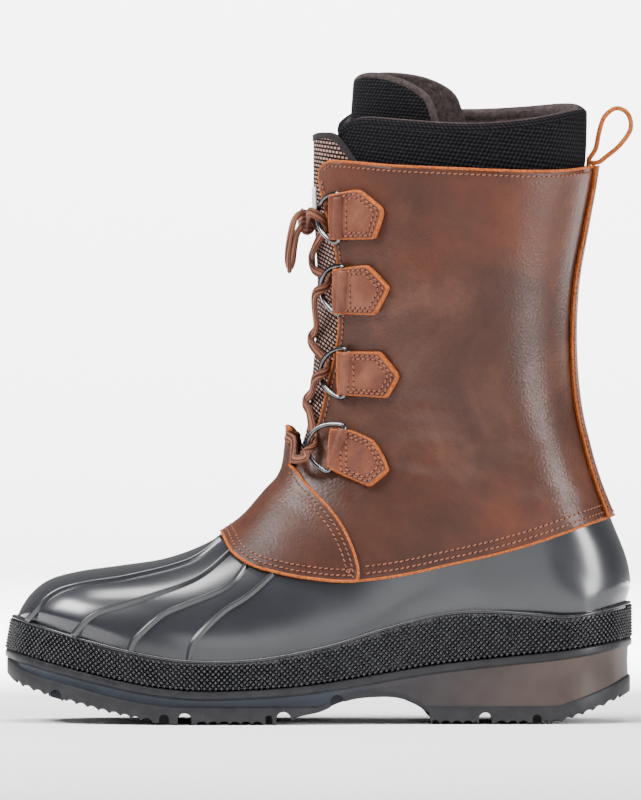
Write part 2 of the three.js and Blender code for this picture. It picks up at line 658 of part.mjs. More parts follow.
// Leather: quarters with the throat cut out, the vamp over them and the strip down the back
function makeUpper() {
  const edge = (sign) => new THREE.SplineCurve(
    throatRows.map((row) => new THREE.Vector2(sign * row.half * throatTop, heightAt(row.rise))),
  ).getPoints(2 * (throatRows.length - 1));
  const throat = frontPrism([...edge(1), ...edge(-1).reverse()], -far, xAt(throatBack));
  return wall(0, upperInner).intersect(above(hem, clearance)).intersect(below(collar)).subtract(throat);
}
function makeVamp() {
  const seam = vampSeamRows.map((row) => new THREE.Vector2(xAt(row.x), heightAt(row.rise)));
  const seamCurve = new THREE.SplineCurve(seam).getPoints(2 * (seam.length - 1));
  const frontOfSeam = sidePrism([
    ...seamCurve,
    new THREE.Vector2(-far, seam.at(-1).y),
    new THREE.Vector2(-far, 0),
  ]);
  const sheet = wall(vampOuter, clearance);
  const body = sheet.intersect(above(hem, clearance)).intersect(frontOfSeam);
  const half = vampTabWidth / 2;
  const tabShape = frontPrism([
    new THREE.Vector2(-half, vampTabFoot),
    new THREE.Vector2(half, vampTabFoot),
    new THREE.Vector2(half, vampTabTop - half / 2),
    new THREE.Vector2(half / 2, vampTabTop),
    new THREE.Vector2(-half / 2, vampTabTop),
    new THREE.Vector2(-half, vampTabTop - half / 2),
  ], -far, xAt(vampTabBack));
  const tab = slant(sheet.intersect(tabShape), { xByZ: -vampTabSlant, level: vampTabFoot });
  const holes = [-1, 1].map((side) => {
    const place = onNose((side * laceHoleSpread) / 2, laceHoleLevel);
    const centre = lifted(place, vampOuter);
    centre.x -= vampTabSlant * (laceHoleLevel - vampTabFoot);
    return cylinderAlong(centre, place.out, laceHoleRadius, 4 * vampOuter, 10);
  });
  return holes.reduce((sheetLeft, hole) => sheetLeft.subtract(hole), body.add(tab));
}
function makeBackstay() {
  const strip = frontPrism([
    new THREE.Vector2(-backstayTop / 2, collarHeight),
    new THREE.Vector2(-backstayFoot / 2, heightAt(backstayLow)),
    new THREE.Vector2(backstayFoot / 2, heightAt(backstayLow)),
    new THREE.Vector2(backstayTop / 2, collarHeight),
  ], xAt(backstayFront), far);
  return wall(clearance + backstayLeather, clearance)
    .intersect(above(hem, 2 * clearance))
    .intersect(below(collar, -clearance))
    .intersect(strip);
}
function makePullLoop() {
  const middle = new THREE.CatmullRomCurve3(loopRows.map(
    (row) => new THREE.Vector3(xAt(row.x), heightAt(row.rise), 0),
  ), true);
  const count = 2 * loopRows.length;
  const side = (sign) => Array.from({ length: count }, (_, index) => {
    const point = middle.getPoint(index / count);
    const along = middle.getTangent(index / count);
    return new THREE.Vector2(
      point.x + (sign * along.y * loopLeather) / 2,
      point.y - (sign * along.x * loopLeather) / 2,
    );
  });
  const [one, other] = [side(1), side(-1)];
  const outer = THREE.ShapeUtils.area(one) ** 2 > THREE.ShapeUtils.area(other) ** 2 ? one : other;
  const inner = outer === one ? other : one;
  const strip = box([xAt(backstayFront), -loopWidth / 2, -far], [far, loopWidth / 2, far]);
  const loop = sidePrism(outer).subtract(sidePrism(inner)).intersect(strip);
  const tail = wall(tongueOuter, tongueInner)
    .intersect(strip)
    .intersect(above(collar, -loopTail))
    .intersect(below(collar, loopTail / 5));
  return loop.add(tail);
}

// Soft pieces: woven tongue, liner with its own tongue, and the felt insole
function makeTongue() {
  const top = curveOf(tongueTopRows, riseOf);
  return wall(tongueOuter, tongueInner)
    .intersect(below(top))
    .intersect(box([-far, -far, heightAt(1) - clearance], [xAt(tongueBack), far, far]));
}
function makeLiner() {
  const rim = curveOf(linerRimRows, riseOf);
  const joint = -lipRoot - 1;
  const rings = bodyRings.slice(1);
  const outer = form(bootieOuter, rings).intersect(below(hem, joint)).add(form(linerOuter, rings));
  const room = form(bootieInner, roomRings).intersect(below(hem, joint)).add(form(linerInner, roomRings));
  const slit = box([-far, -linerSlit / 2, heightAt(slitFoot)], [xAt(slitBack), linerSlit / 2, far]);
  return outer.subtract(room).intersect(slant(below(rim), { zByY: rimTilt })).subtract(slit);
}
function makeLinerTongue() {
  const shape = new THREE.SplineCurve(
    linerTongueRows.map((row) => new THREE.Vector2(xAt(row.x), heightAt(row.rise))),
  ).getPoints(2 * (linerTongueRows.length - 1));
  const cut = sidePrism([
    ...shape,
    new THREE.Vector2(-far, shape.at(-1).y),
    new THREE.Vector2(-far, shape[0].y),
  ]);
  const sheet = wall(linerTongueOuter, linerTongueOuter - linerTongueWall, roomRings);
  const foot = heightAt(linerTongueRows[0].rise);
  return slant(sheet.intersect(slant(cut, { xByY: tongueSkew, zByY: rimTilt })), {
    xByZ: tongueLean,
    level: foot,
  });
}
function makeInsole() {
  return planPrism(outline(() => insoleInset))
    .intersect(form(bootieInner - insoleLift, roomRings))
    .intersect(below(footbed, insoleLift - bootieInner + insoleFelt));
}

// Ring tabs and rings: frames along the tab, up its fold and out of the leather
function tabFrame(row, side) {
  const fold = onSide(xAt(row.x), heightAt(row.rise), side);
  const droop = THREE.MathUtils.degToRad(row.turn);
  const course = new THREE.Vector3(Math.cos(droop), 0, -Math.sin(droop));
  const along = course.clone().projectOnPlane(fold.out).normalize();
  const up = new THREE.Vector3().crossVectors(along, fold.out).multiplyScalar(side).normalize();
  const tuck = THREE.MathUtils.degToRad(row.tuck);
  const ahead = along.clone().multiplyScalar(-Math.cos(tuck)).addScaledVector(fold.out, -Math.sin(tuck));
  const face = fold.out.clone().multiplyScalar(Math.cos(tuck)).addScaledVector(along, -Math.sin(tuck));
  return { fold, along, up, ahead, face, bar: lifted(fold, rollLift) };
}
function cylinderAlong(centre, axis, radius, height, sides) {
  const turn = new THREE.Quaternion().setFromUnitVectors(new THREE.Vector3(0, 1, 0), axis);
  const geometry = new THREE.CylinderGeometry(radius, radius, height, sides).applyQuaternion(turn);
  return solidOf(geometry.translate(centre.x, centre.y, centre.z));
}
const rollHeight = ringHeight - 4 * ringWire - 4 * clearance;
function makeTab(frame, side) {
  const { fold, along, up, bar } = frame;
  const stations = [
    { reach: 0, half: rollHeight / 2 },
    { reach: tabShoulder / 2, half: (rollHeight + tabHeight) / 4 },
    { reach: tabShoulder, half: tabHeight / 2 },
    { reach: tabTip - tabBlunt, half: 1.5 * tabBlunt },
    { reach: tabTip, half: tabBlunt / 2 },
  ];
  const onTab = (reach, height, lift) => {
    const spot = fold.point.clone().addScaledVector(along, reach).addScaledVector(up, height);
    return lifted(meet(spot.clone().addScaledVector(fold.out, far), fold.out.clone().negate()), lift);
  };
  const plate = solidOf(skin(stations.map(({ reach, half }) => [
    ...[-1, 0, 1].map((share) => onTab(reach * tabWrap, share * half, tabInner)),
    ...[1, 0, -1].map((share) => onTab(reach * tabWrap, share * half, tabOuter)),
  ])));
  const roll = cylinderAlong(bar, up, rollRadius, rollHeight, 8);
  const bore = cylinderAlong(bar, up, ringWire + clearance, 2 * rollHeight, 6);
  return plate.add(roll).subtract(bore);
}
const ringHalf = ringHeight / 2 - ringWire;
function ringPoint(frame, turn) {
  const angle = THREE.MathUtils.degToRad(turn);
  return frame.bar.clone()
    .addScaledVector(frame.up, ringHalf * Math.cos(angle))
    .addScaledVector(frame.ahead, ringReach * Math.sin(angle));
}
function makeRing(frame) {
  const arc = new THREE.CatmullRomCurve3(Array.from({ length: 7 }, (_, index) => ringPoint(frame, index * 30)));
  const wire = new THREE.Shape(Array.from({ length: 6 }, (_, index) => new THREE.Vector2(
    ringWire * Math.cos((index * Math.PI) / 3),
    ringWire * Math.sin((index * Math.PI) / 3),
  )));
  const bow = new THREE.ExtrudeGeometry(wire, { extrudePath: arc, steps: 8, bevelEnabled: false });
  const bar = cylinderAlong(frame.bar, frame.up, ringWire, 2 * ringHalf + ringWire, 6);
  return solidOf(bow).add(bar);
}

// Lace: a flat cord skinned over stations, each with its middle and the direction its face looks
function flatCord(stations) {
  const course = new THREE.CatmullRomCurve3(stations.map((station) => station.point));
  const faces = new THREE.CatmullRomCurve3(stations.map((station) => station.out));
  const count = Math.round(cordSplit * (stations.length - 1));
  return solidOf(skin(Array.from({ length: count + 1 }, (_, index) => {
    const point = course.getPoint(index / count);
    const along = course.getTangent(index / count);
    const out = faces.getPoint(index / count).projectOnPlane(along).normalize();
    const across = new THREE.Vector3().crossVectors(along, out);
    return Array.from({ length: 6 }, (__, corner) => {
      const turn = (corner * Math.PI) / 3;
      return point.clone()
        .addScaledVector(across, (laceWidth / 2) * Math.cos(turn))
        .addScaledVector(out, (laceThickness / 2) * cordCrown * Math.sin(turn));
    });
  })));
}
// A cord over a ring's wire, into the ring and away behind it, or the other way about
function roundRing(frame, turns, sign, overFirst) {
  const reach = ringWire + laceThickness / 2 + 6 * clearance;
  const [first, last] = turns;
  const inside = ringPoint(frame, (first + last) / 2);
  const inward = inside.clone().sub(frame.bar).projectOnPlane(frame.up).normalize();
  const order = overFirst ? 1 : -1;
  const station = (turn, height) => ({
    point: ringPoint(frame, turn).addScaledVector(frame.face, height * reach),
    out: frame.face.clone().multiplyScalar(sign * height * order),
  });
  return [
    station(first, order),
    { point: inside.addScaledVector(inward, -reach), out: inward.clone().multiplyScalar(-sign * order) },
    station(last, -order),
  ];
}
function laceStrand(frames, side) {
  const frameOf = (row, which) => frames[row][which < 0 ? 'lateral' : 'medial'];
  const lean = -vampTabSlant * (laceHoleLevel - vampTabFoot);
  const atTab = (y, drop, lift) => {
    const place = onNose(y, laceHoleLevel - drop);
    return { point: lifted(place, lift).add(new THREE.Vector3(lean, 0, 0)), out: place.out };
  };
  const hole = (side * laceHoleSpread) / 2;
  const behind = -laceThickness / 2 - clearance;
  const inward = new THREE.Vector3(0, -side, 0);
  const stations = [
    atTab(0, 0, behind),
    atTab(0.6 * hole, 0, behind),
    { ...atTab(0.97 * hole, 0, behind / 2), out: inward },
    { ...atTab(hole, 0, vampOuter + clearance), out: inward },
    atTab(1.1 * hole, laceHoleDrop / 4, vampOuter + laceThickness),
    ...laceTurnRows.map((row) => {
      const place = onNose(side * row.across * ballWidth, heightAt(row.rise));
      return { point: lifted(place, row.lift * laceWidth), out: place.out };
    }),
    ...roundRing(frameOf(3, side), lowRingTurns, 1, true),
  ];
  crossingRise.forEach((rise, index) => {
    const flip = index % 2 ? 1 : -1;
    const last = index === crossingRise.length - 1;
    const overTongue = (share, level, lift) => {
      const place = onNose(side * flip * share * crossingSpan, heightAt(level));
      return { point: lifted(place, lift), out: place.out.clone().multiplyScalar(flip) };
    };
    stations.push(
      overTongue(-1, rise - crossingSlope, crossingLift),
      overTongue(0, rise, side * flip * crossingLift),
      overTongue(1, rise + crossingSlope, crossingLift),
      ...roundRing(frameOf(2 - index, side * flip), last ? topRingTurns : ringTurns, flip, !last),
    );
  });
  const knot = onFront(heightAt(knotRise));
  const end = lifted(knot, knotLift);
  end.y = -side * (knotHalf.y + clearance + 0.5);
  stations.push({ point: end, out: knot.out });
  return flatCord(stations);
}
function makeKnot() {
  const knot = lifted(onFront(heightAt(knotRise)), knotLift);
  return new THREE.SphereGeometry(1, 10, 7)
    .scale(knotHalf.x, knotHalf.y, knotHalf.z)
    .translate(knot.x, 0, knot.z);
}
function makeLoop(side) {
  const route = new THREE.CatmullRomCurve3(laceLoopRows.map(
    (row) => new THREE.Vector3(xAt(row.x), side * row.y * ballWidth, heightAt(row.rise)),
  ));
  const section = new THREE.Shape(Array.from({ length: 8 }, (_, index) => new THREE.Vector2(
    laceRadius * Math.cos((index * Math.PI) / 4),
    laceRadius * Math.sin((index * Math.PI) / 4),
  )));
  return new THREE.ExtrudeGeometry(section, { extrudePath: route, steps: 14, bevelEnabled: false });
}

// Finishes
const finish = (color, roughness, metalness = 0) => (
  new THREE.MeshStandardMaterial({ color, roughness, metalness })
);
const rubber = () => finish(0x3a3d42, 0.35);
const tread = () => finish(0x3f4046, 0.5);
const brownLeather = () => finish(0x6b4334, 0.6);
const edgeLeather = () => finish(0x8a5038, 0.7);
const woven = () => finish(0x5a4a48, 0.9);
const mesh = () => finish(0x222124, 0.95);
const felt = () => finish(0x6a5c54, 1);
const gunmetal = () => finish(0x55565a, 0.25, 1);
const cordBrown = () => finish(0x7a4530, 0.85);

const boot = new THREE.Group();
function place(name, solid, material) {
  let geometry = solid;
  if (solid.getMesh) {
    const { vertProperties, triVerts } = mainBody(solid.simplify(tidyStep)).getMesh();
    geometry = new THREE.BufferGeometry();
    geometry.setAttribute('position', new THREE.BufferAttribute(vertProperties, 3));
    geometry.setIndex(new THREE.BufferAttribute(triVerts, 1));
    geometry.computeVertexNormals();
  }
  const part = new THREE.Mesh(geometry, material);
  part.name = name;
  boot.add(part);
}
place('outsole', makeOutsole(), tread());
place('shell', makeShell(), rubber());
place('upper', makeUpper(), brownLeather());
place('vamp', makeVamp(), brownLeather());
place('backstay', makeBackstay(), edgeLeather());
place('pull_loop', makePullLoop(), edgeLeather());
place('tongue', makeTongue(), woven());
place('liner', makeLiner(), mesh());
place('liner_tongue', makeLinerTongue(), mesh());
place('insole', makeInsole(), felt());
const frames = tabRows.map((row) => ({ lateral: tabFrame(row, -1), medial: tabFrame(row, 1) }));
frames.forEach((pair, index) => {
  [['lateral', -1], ['medial', 1]].forEach(([name, side]) => {
    place(`tab_${name}_${index + 1}`, makeTab(pair[name], side), edgeLeather());
    place(`ring_${name}_${index + 1}`, makeRing(pair[name]), gunmetal());
  });
});
place('lace_crossings', laceStrand(frames, -1).add(laceStrand(frames, 1)), cordBrown());
place('lace_knot', makeKnot(), cordBrown());
place('lace_loop_lateral', makeLoop(-1), cordBrown());
place('lace_loop_medial', makeLoop(1), cordBrown());

export default boot;
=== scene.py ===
# %% [markdown]
# # A pac boot
#
# A pac boot is two boots in one. A leather shaft is sewn to a moulded rubber shell on a lugged outsole,
# and a padded liner with a tongue of its own lifts out of it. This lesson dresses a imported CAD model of
# the left boot. The model is the fixed frame: every piece made here lies where its solid lies.
# Sizes are in millimetres, and they turn into Blender's metres where a mesh is made.

# %% Tools and the fixed frame
import math
from typing import NamedTuple

import bmesh
import bpy
import numpy as np
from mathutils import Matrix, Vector
from mathutils.bvhtree import BVHTree


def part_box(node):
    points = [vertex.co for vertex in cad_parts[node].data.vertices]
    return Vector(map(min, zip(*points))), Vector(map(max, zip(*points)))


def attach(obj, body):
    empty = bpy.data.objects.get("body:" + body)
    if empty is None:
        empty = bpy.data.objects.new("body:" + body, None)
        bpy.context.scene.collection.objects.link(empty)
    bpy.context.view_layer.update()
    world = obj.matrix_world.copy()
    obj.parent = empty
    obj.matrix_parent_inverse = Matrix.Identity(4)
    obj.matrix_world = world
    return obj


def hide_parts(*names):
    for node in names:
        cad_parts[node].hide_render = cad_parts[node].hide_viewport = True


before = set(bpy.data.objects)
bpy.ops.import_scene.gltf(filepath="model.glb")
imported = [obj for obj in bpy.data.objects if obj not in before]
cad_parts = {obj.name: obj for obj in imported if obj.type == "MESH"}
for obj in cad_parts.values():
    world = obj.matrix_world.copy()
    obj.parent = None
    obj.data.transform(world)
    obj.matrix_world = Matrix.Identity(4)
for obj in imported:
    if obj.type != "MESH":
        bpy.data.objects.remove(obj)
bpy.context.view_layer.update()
MM = 0.001
sole_low, sole_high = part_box("outsole")
LENGTH = round((sole_high.x - sole_low.x) / MM)
BALL_WIDTH = round((sole_high.y - sole_low.y) / MM)
print("CAD nodes:", len(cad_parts), "outsole", LENGTH, "by", BALL_WIDTH, "mm")

# %% [markdown]
# ## The camera
#
# The photograph is a pure side view from a little above the floor, taken from far away, so there is
# almost no perspective. A long lens does the same: the frame is 325 mm wide at the boot's middle.
# Its focal length follows from the size of one pixel and from how far away it stands.

# %% Camera


def new_object(name, data):
    """An object with its data, linked to the scene."""
    made = bpy.data.objects.new(name, data)
    bpy.context.scene.collection.objects.link(made)
    return made


IMAGE_WIDTH, IMAGE_HEIGHT = 641, 800
# Where the sole's two ends and the floor lie in the photograph.
TOE_PX, HEEL_PX, FLOOR_PX = 5, 632, 721.5
MM_PER_PX = LENGTH / (HEEL_PX - TOE_PX)
CAMERA_DISTANCE = 9000
CAMERA_RISE = math.radians(1.0)
SENSOR = 36
aim_x = (IMAGE_WIDTH / 2 - (TOE_PX + HEEL_PX) / 2) * MM_PER_PX
aim_z = (FLOOR_PX - IMAGE_HEIGHT / 2) * MM_PER_PX
camera_data = bpy.data.cameras.new("camera")
camera_data.sensor_fit = "VERTICAL"
camera_data.sensor_height = SENSOR
camera_data.lens = SENSOR * CAMERA_DISTANCE / (IMAGE_HEIGHT * MM_PER_PX)
camera_data.clip_end = 30
camera = new_object("camera", camera_data)
aim = Vector((aim_x, 0, aim_z)) * MM
back_off = Vector((0, -math.cos(CAMERA_RISE), math.sin(CAMERA_RISE))) * CAMERA_DISTANCE * MM
camera.location = aim + back_off
camera.rotation_euler = (-back_off).to_track_quat("-Z", "Y").to_euler()
bpy.context.scene.camera = camera
print("lens", round(camera_data.lens), "mm; one pixel is", round(MM_PER_PX, 3), "mm")

# %% [markdown]
# ## The boot's own sizes
#
# The solids and the dressing share one set of driving sizes, so they can never drift apart. Positions
# along the boot are shares of its length from the toe. Heights are shares of the instep from 0 to 1,
# and of the shaft from 1 to 2.

# %% Driving sizes
INSTEP_HEIGHT = 130
SHAFT_RISE = 153
SHELL_SEAT, HEEL_LIFT, TOE_SPRING = 17.3, 26, 19
GAP = 0.3
LEATHER, VAMP_LEATHER, TAB_LEATHER, BACKSTAY_LEATHER = 2.2, 1.6, 1.6, 1.8
TONGUE_CLOTH, LINER_WALL, LINER_TONGUE_WALL = 1.8, 8.5, 6
SHELL_INSET, SHELL_WALL, LIP_WALL = 0.4, 2.8, 2.5
LEDGE_DEPTH, LEDGE_STEP, BAND_INSET = 4.4, 2, 1.6
# The faces of the layers, as offsets from the last, from the leather's back inwards.
TONGUE_FACE = -LEATHER - GAP
LINER_FACE = TONGUE_FACE - LIP_WALL - GAP
LINER_ROOM = LINER_FACE - LINER_WALL
LINER_TONGUE_FACE = LINER_ROOM - 2 * GAP


def x_at(share):
    """A share of the length from the toe, as millimetres from the boot's middle."""
    return (np.asarray(share, float) - 0.5) * LENGTH


def z_at(rise):
    """A height as a share of the instep, then of the shaft, in millimetres."""
    rise = np.asarray(rise, float)
    return np.where(rise <= 1, rise * INSTEP_HEIGHT, INSTEP_HEIGHT + (rise - 1) * SHAFT_RISE)


def units(vectors):
    """Each vector at length 1."""
    return vectors / (np.linalg.norm(vectors, axis=-1, keepdims=True) + 1e-9)


def smooth_line(points, steps=8):
    """A smooth curve through points of any dimension: Catmull and Rom's spline."""
    points = np.asarray(points, float)
    padded = np.vstack([2 * points[0] - points[1], points, 2 * points[-1] - points[-2]])
    out = []
    for a, b, c, d in zip(padded, padded[1:], padded[2:], padded[3:]):
        for t in np.arange(steps) / steps:
            out.append(0.5 * (2 * b + (c - a) * t + (2 * a - 5 * b + 4 * c - d) * t**2
                              + (3 * b - a - 3 * c + d) * t**3))
    return np.array(out + [points[-1]])


def side_line(rows):
    """A line of the side view from its rows of share and rise, as x and z."""
    rows = np.array(rows, float)
    return smooth_line(np.column_stack([x_at(rows[:, 0]), z_at(rows[:, 1])]))


FOOTBED = smooth_line([
    (float(x_at(x)), SHELL_SEAT + toe * TOE_SPRING + heel * HEEL_LIFT)
    for x, toe, heel in [
        (-0.05, 1.3, 0), (0.01, 1, 0), (0.09, 0.64, 0), (0.19, 0.25, 0), (0.26, 0.06, 0), (0.33, 0, 0),
        (0.43, 0, 0.05), (0.52, 0, 0.17), (0.68, 0, 0.49), (0.8, 0, 0.66), (0.9, 0, 0.79), (1, 0, 1),
        (1.05, 0, 1.12),
    ]
])
HEM = side_line([
    (0.3, 0.87), (0.346, 0.739), (0.359, 0.677), (0.39, 0.622), (0.428, 0.593), (0.48, 0.568),
    (0.549, 0.554), (0.628, 0.575), (0.698, 0.612), (0.78, 0.657), (0.855, 0.71), (0.945, 0.785),
    (1.05, 0.85),
])
COLLAR = side_line([
    (0.3, 2.01), (0.5, 2.01), (0.56, 2.004), (0.62, 1.994), (0.72, 1.985), (0.82, 1.977), (0.89, 1.978),
    (0.935, 1.989), (1.05, 2.02),
])
BAND_TOP = side_line([
    (-0.05, 0.44), (0.01, 0.41), (0.11, 0.343), (0.2, 0.288), (0.29, 0.254), (0.4, 0.258), (0.51, 0.306),
    (0.6, 0.372), (0.69, 0.43), (0.76, 0.444), (0.84, 0.434), (0.9, 0.424), (0.96, 0.45), (1.05, 0.5),
])
VAMP_SEAM = side_line([
    (0.548, 0.5), (0.563, 0.569), (0.562, 0.618), (0.554, 0.684), (0.538, 0.768), (0.517, 0.838),
    (0.496, 0.892), (0.476, 0.942), (0.464, 0.982), (0.45, 1.01),
])


def level(line, x):
    """A side line's height at x."""
    return np.interp(x, line[:, 0], line[:, 1])


hem_height, collar_height = float(level(HEM, 0)), float(level(COLLAR, 60))
print("hem at the ball", round(hem_height, 1), "mm; collar", round(collar_height, 1), "mm")

# %% [markdown]
# ## The last: one smooth form under everything
#
# A shoemaker shapes every layer over one last. Here the last is a skin over twenty-five sections that
# fan from the toe, round the heel and up the shaft. Leather, lining, tongue and tabs are then all the
# same skin, moved out or in along its own normals, so they nest as real layers do. Each section is a
# closed ring, a superellipse with a power of its own in front and behind, and smooth curves run from
# ring to ring.

# %% Sections of the last


class Section(NamedTuple):
    """One ring: where its front and back lie, its shift and half width, and how square its ends are."""

    front_x: float
    front_rise: float
    back_x: float
    back_rise: float
    shift: float
    half: float
    wide: float
    front: float
    back: float


ON_SOLE = None
SECTIONS = [Section(*row) for row in [
    (0.011, 0.35, 0.011, ON_SOLE, 0.043, 0.06, 0.4, 2, 2.4),
    (0.02, 0.423, 0.017, ON_SOLE, 0.043, 0.147, 0.4, 2.1, 3),
    (0.041, 0.502, 0.036, ON_SOLE, 0.041, 0.233, 0.38, 2.2, 3.6),
    (0.072, 0.558, 0.066, ON_SOLE, 0.032, 0.316, 0.36, 2.3, 4.2),
    (0.12, 0.59, 0.116, ON_SOLE, 0.017, 0.384, 0.34, 2.35, 4.6),
    (0.189, 0.614, 0.189, ON_SOLE, 0.01, 0.434, 0.32, 2.3, 4.8),
    (0.255, 0.64, 0.267, ON_SOLE, 0.003, 0.466, 0.3, 2.2, 4.8),
    (0.317, 0.695, 0.355, ON_SOLE, -0.005, 0.466, 0.27, 2, 4.6),
    (0.3752, 0.782, 0.45, ON_SOLE, -0.015, 0.44, 0.25, 1.9, 4.2),
    (0.416, 0.89, 0.557, ON_SOLE, -0.019, 0.4, 0.26, 1.9, 3.8),
    (0.4465, 0.973, 0.676, ON_SOLE, -0.016, 0.366, 0.3, 1.9, 3.6),
    (0.4623, 1.052, 0.796, ON_SOLE, -0.01, 0.358, 0.34, 1.85, 3.5),
    (0.4748, 1.137, 0.903, ON_SOLE, -0.007, 0.362, 0.38, 1.8, 3.4),
    (0.48, 1.229, 0.98, ON_SOLE, -0.003, 0.366, 0.4, 1.8, 3),
    (0.483, 1.314, 0.999, 0.446, 0, 0.371, 0.42, 1.8, 2.5),
    (0.487, 1.405, 0.995, 0.615, 0, 0.375, 0.43, 1.8, 2.3),
    (0.49, 1.497, 0.968, 0.792, 0, 0.384, 0.44, 1.8, 2.2),
    (0.4905, 1.595, 0.939, 0.98, 0, 0.397, 0.44, 1.8, 2.2),
    (0.489, 1.693, 0.915, 1.183, 0, 0.41, 0.44, 1.8, 2.15),
    (0.486, 1.791, 0.906, 1.392, 0, 0.422, 0.44, 1.8, 2.15),
    (0.484, 1.889, 0.91, 1.601, 0, 0.435, 0.44, 1.8, 2.15),
    (0.484, 1.987, 0.926, 1.797, 0, 0.448, 0.44, 1.8, 2.15),
    (0.484, 2.09, 0.941, 1.98, 0, 0.461, 0.44, 1.8, 2.15),
    (0.484, 2.21, 0.945, 2.144, 0, 0.47, 0.44, 1.8, 2.15),
    (0.484, 2.36, 0.945, 2.36, 0, 0.474, 0.44, 1.8, 2.15),
]]
AROUND = 160
STEPS = 8


def section_ring(row):
    """Points round one section, from the back round the outer side, the front and the inner side."""
    front = np.array([float(x_at(row.front_x)), float(z_at(row.front_rise))])
    back_x = float(x_at(row.back_x))
    back_z = float(level(FOOTBED, back_x) if row.back_rise is ON_SOLE else z_at(row.back_rise))
    turn = 2 * np.pi * np.arange(AROUND) / AROUND + np.pi
    reach, spread = np.cos(turn), np.sin(turn)
    power = 2 / np.where(reach > 0, row.front, row.back)
    share = np.where(reach > 0, 1 - row.wide, row.wide)
    along = row.wide + share * np.sign(reach) * np.abs(reach) ** power
    middle = np.outer(1 - along, [back_x, back_z]) + np.outer(along, front)
    across = (row.shift + row.half * np.sign(spread) * np.abs(spread) ** power) * BALL_WIDTH
    return np.column_stack([middle[:, 0], across, middle[:, 1]])


rings = smooth_line(np.array([section_ring(row).ravel() for row in SECTIONS]), STEPS)
LAST = rings.reshape(len(rings), AROUND, 3)
along_v = np.gradient(LAST, axis=0)
along_u = np.roll(LAST, -1, axis=1) - np.roll(LAST, 1, axis=1)
OUT = units(np.cross(along_v, along_u))
middle_ring = LAST[len(LAST) // 3]
if np.sum(OUT[len(LAST) // 3] * (middle_ring - middle_ring.mean(axis=0))) < 0:
    OUT = -OUT
print("last:", LAST.shape[0], "rings of", AROUND)

# %% [markdown]
# Leather that is worn and laced creases where it bends. The creases are laid one by one, as lines of the
# side view in the boot's own shares. Each is a soft trough with a lower ridge beside it, pressed into
# the last itself, so that every layer over it follows.

# %% Creases
# Three points of a line, then its depth and its width in millimetres.
CREASES = [
    ((0.612, 1.118), (0.655, 1.14), (0.705, 1.142), 0.75, 2.6),
    ((0.606, 1.06), (0.65, 1.086), (0.712, 1.09), 0.95, 2.8),
    ((0.618, 0.985), (0.662, 0.962), (0.71, 0.96), 0.95, 2.6),
    ((0.61, 0.92), (0.65, 0.9), (0.7, 0.91), 0.6, 2.6),
    ((0.55, 0.93), (0.562, 0.85), (0.59, 0.78), 0.8, 2.8),
    ((0.56, 0.96), (0.585, 0.87), (0.625, 0.8), 0.6, 3.0),
    ((0.79, 0.845), (0.84, 0.87), (0.9, 0.88), 0.7, 3.2),
    ((0.76, 1.0), (0.83, 1.04), (0.9, 1.05), 0.5, 4.0),
    ((0.63, 1.205), (0.66, 1.222), (0.7, 1.22), 0.5, 2.6),
    ((0.44, 0.86), (0.47, 0.8), (0.5, 0.74), 0.35, 3.4),
]


RIDGE_SHARE = 0.55


def crease_depth(points):
    """How far each point is pressed in, from its place in the side view."""
    x, z = points[..., 0], points[..., 2]
    total = np.zeros(x.shape)
    for *line, depth, width in CREASES:
        spots = smooth_line([(float(x_at(a)), float(z_at(b))) for a, b in line], 4)
        nearest = np.full(x.shape, np.inf)
        across, strength = np.zeros(x.shape), np.zeros(x.shape)
        for k, (a, b) in enumerate(zip(spots, spots[1:])):
            run = b - a
            share = np.clip(((x - a[0]) * run[0] + (z - a[1]) * run[1]) / run.dot(run), 0, 1)
            off = np.stack([x - a[0] - share * run[0], z - a[1] - share * run[1]])
            gap = np.hypot(*off)
            closer = gap < nearest
            nearest = np.where(closer, gap, nearest)
            side = np.sign(run[0] * off[1] - run[1] * off[0])
            fade = math.sin(math.pi * (k + 1) / (len(spots) + 0.5))
            across = np.where(closer, side * gap, across)
            strength = np.where(closer, fade, strength)
        trough = np.exp(-(nearest / width) ** 2)
        ridge = RIDGE_SHARE * np.exp(-((across - 2 * width) / width) ** 2)
        total += depth * strength * (trough - ridge)
    return total


LAST = LAST - crease_depth(LAST)[..., None] * OUT
print("creases:", len(CREASES))

# %% [markdown]
# Rings, laces and tabs need single places on the last. A ray cast at it finds one.

# %% Finding a place on the last


def grid_faces(rows, columns, wrap=True):
    """Quads of a grid of rows and columns, closed round its columns if wrap is true."""
    stop = columns if wrap else columns - 1
    return [(r * columns + c, r * columns + (c + 1) % columns, (r + 1) * columns + (c + 1) % columns,
             (r + 1) * columns + c) for r in range(rows - 1) for c in range(stop)]


last_tree = BVHTree.FromPolygons(LAST.reshape(-1, 3).tolist(), grid_faces(len(LAST), AROUND))
FAR = 2 * LENGTH


def meet(origin, direction):
    """Where a line meets the last, and the way out of it there."""
    direction = Vector(direction).normalized()
    point, out, _, _ = last_tree.ray_cast(Vector(origin), direction)
    if out.dot(direction) > 0:
        out = -out
    return np.array(point), np.array(out)


def on_side(x, z, side):
    """The place seen from one side at x and z."""
    return meet((float(x), side * FAR, float(z)), (0, -side, 0))


def on_nose(y, z):
    """The place seen from the toe at y and z."""
    return meet((-FAR, float(y), float(z)), (1, 0, 0))


def lifted(place, lift):
    """The point at a lift above a place on the last."""
    return place[0] + lift * place[1]


print("outer ankle lies", round(float(on_side(80, 120, -1)[0][1]), 1), "mm across")

# %% [markdown]
# ## Two ways to make a piece
#
# Most of this boot is sheet: leather, cloth or rubber laid over the last. A sheet here is the last's
# skin at some offset, trimmed along smooth cutting lines as a knife would, and thickened by Solidify,
# which gives its cut rim a material of its own. What is long and thin is swept instead: a profile
# follows a path, and a second direction keeps its face turned outwards. A cloth simulation could drape
# the sheets, but it would never hold the photograph's lines.

# %% Cutting a sheet


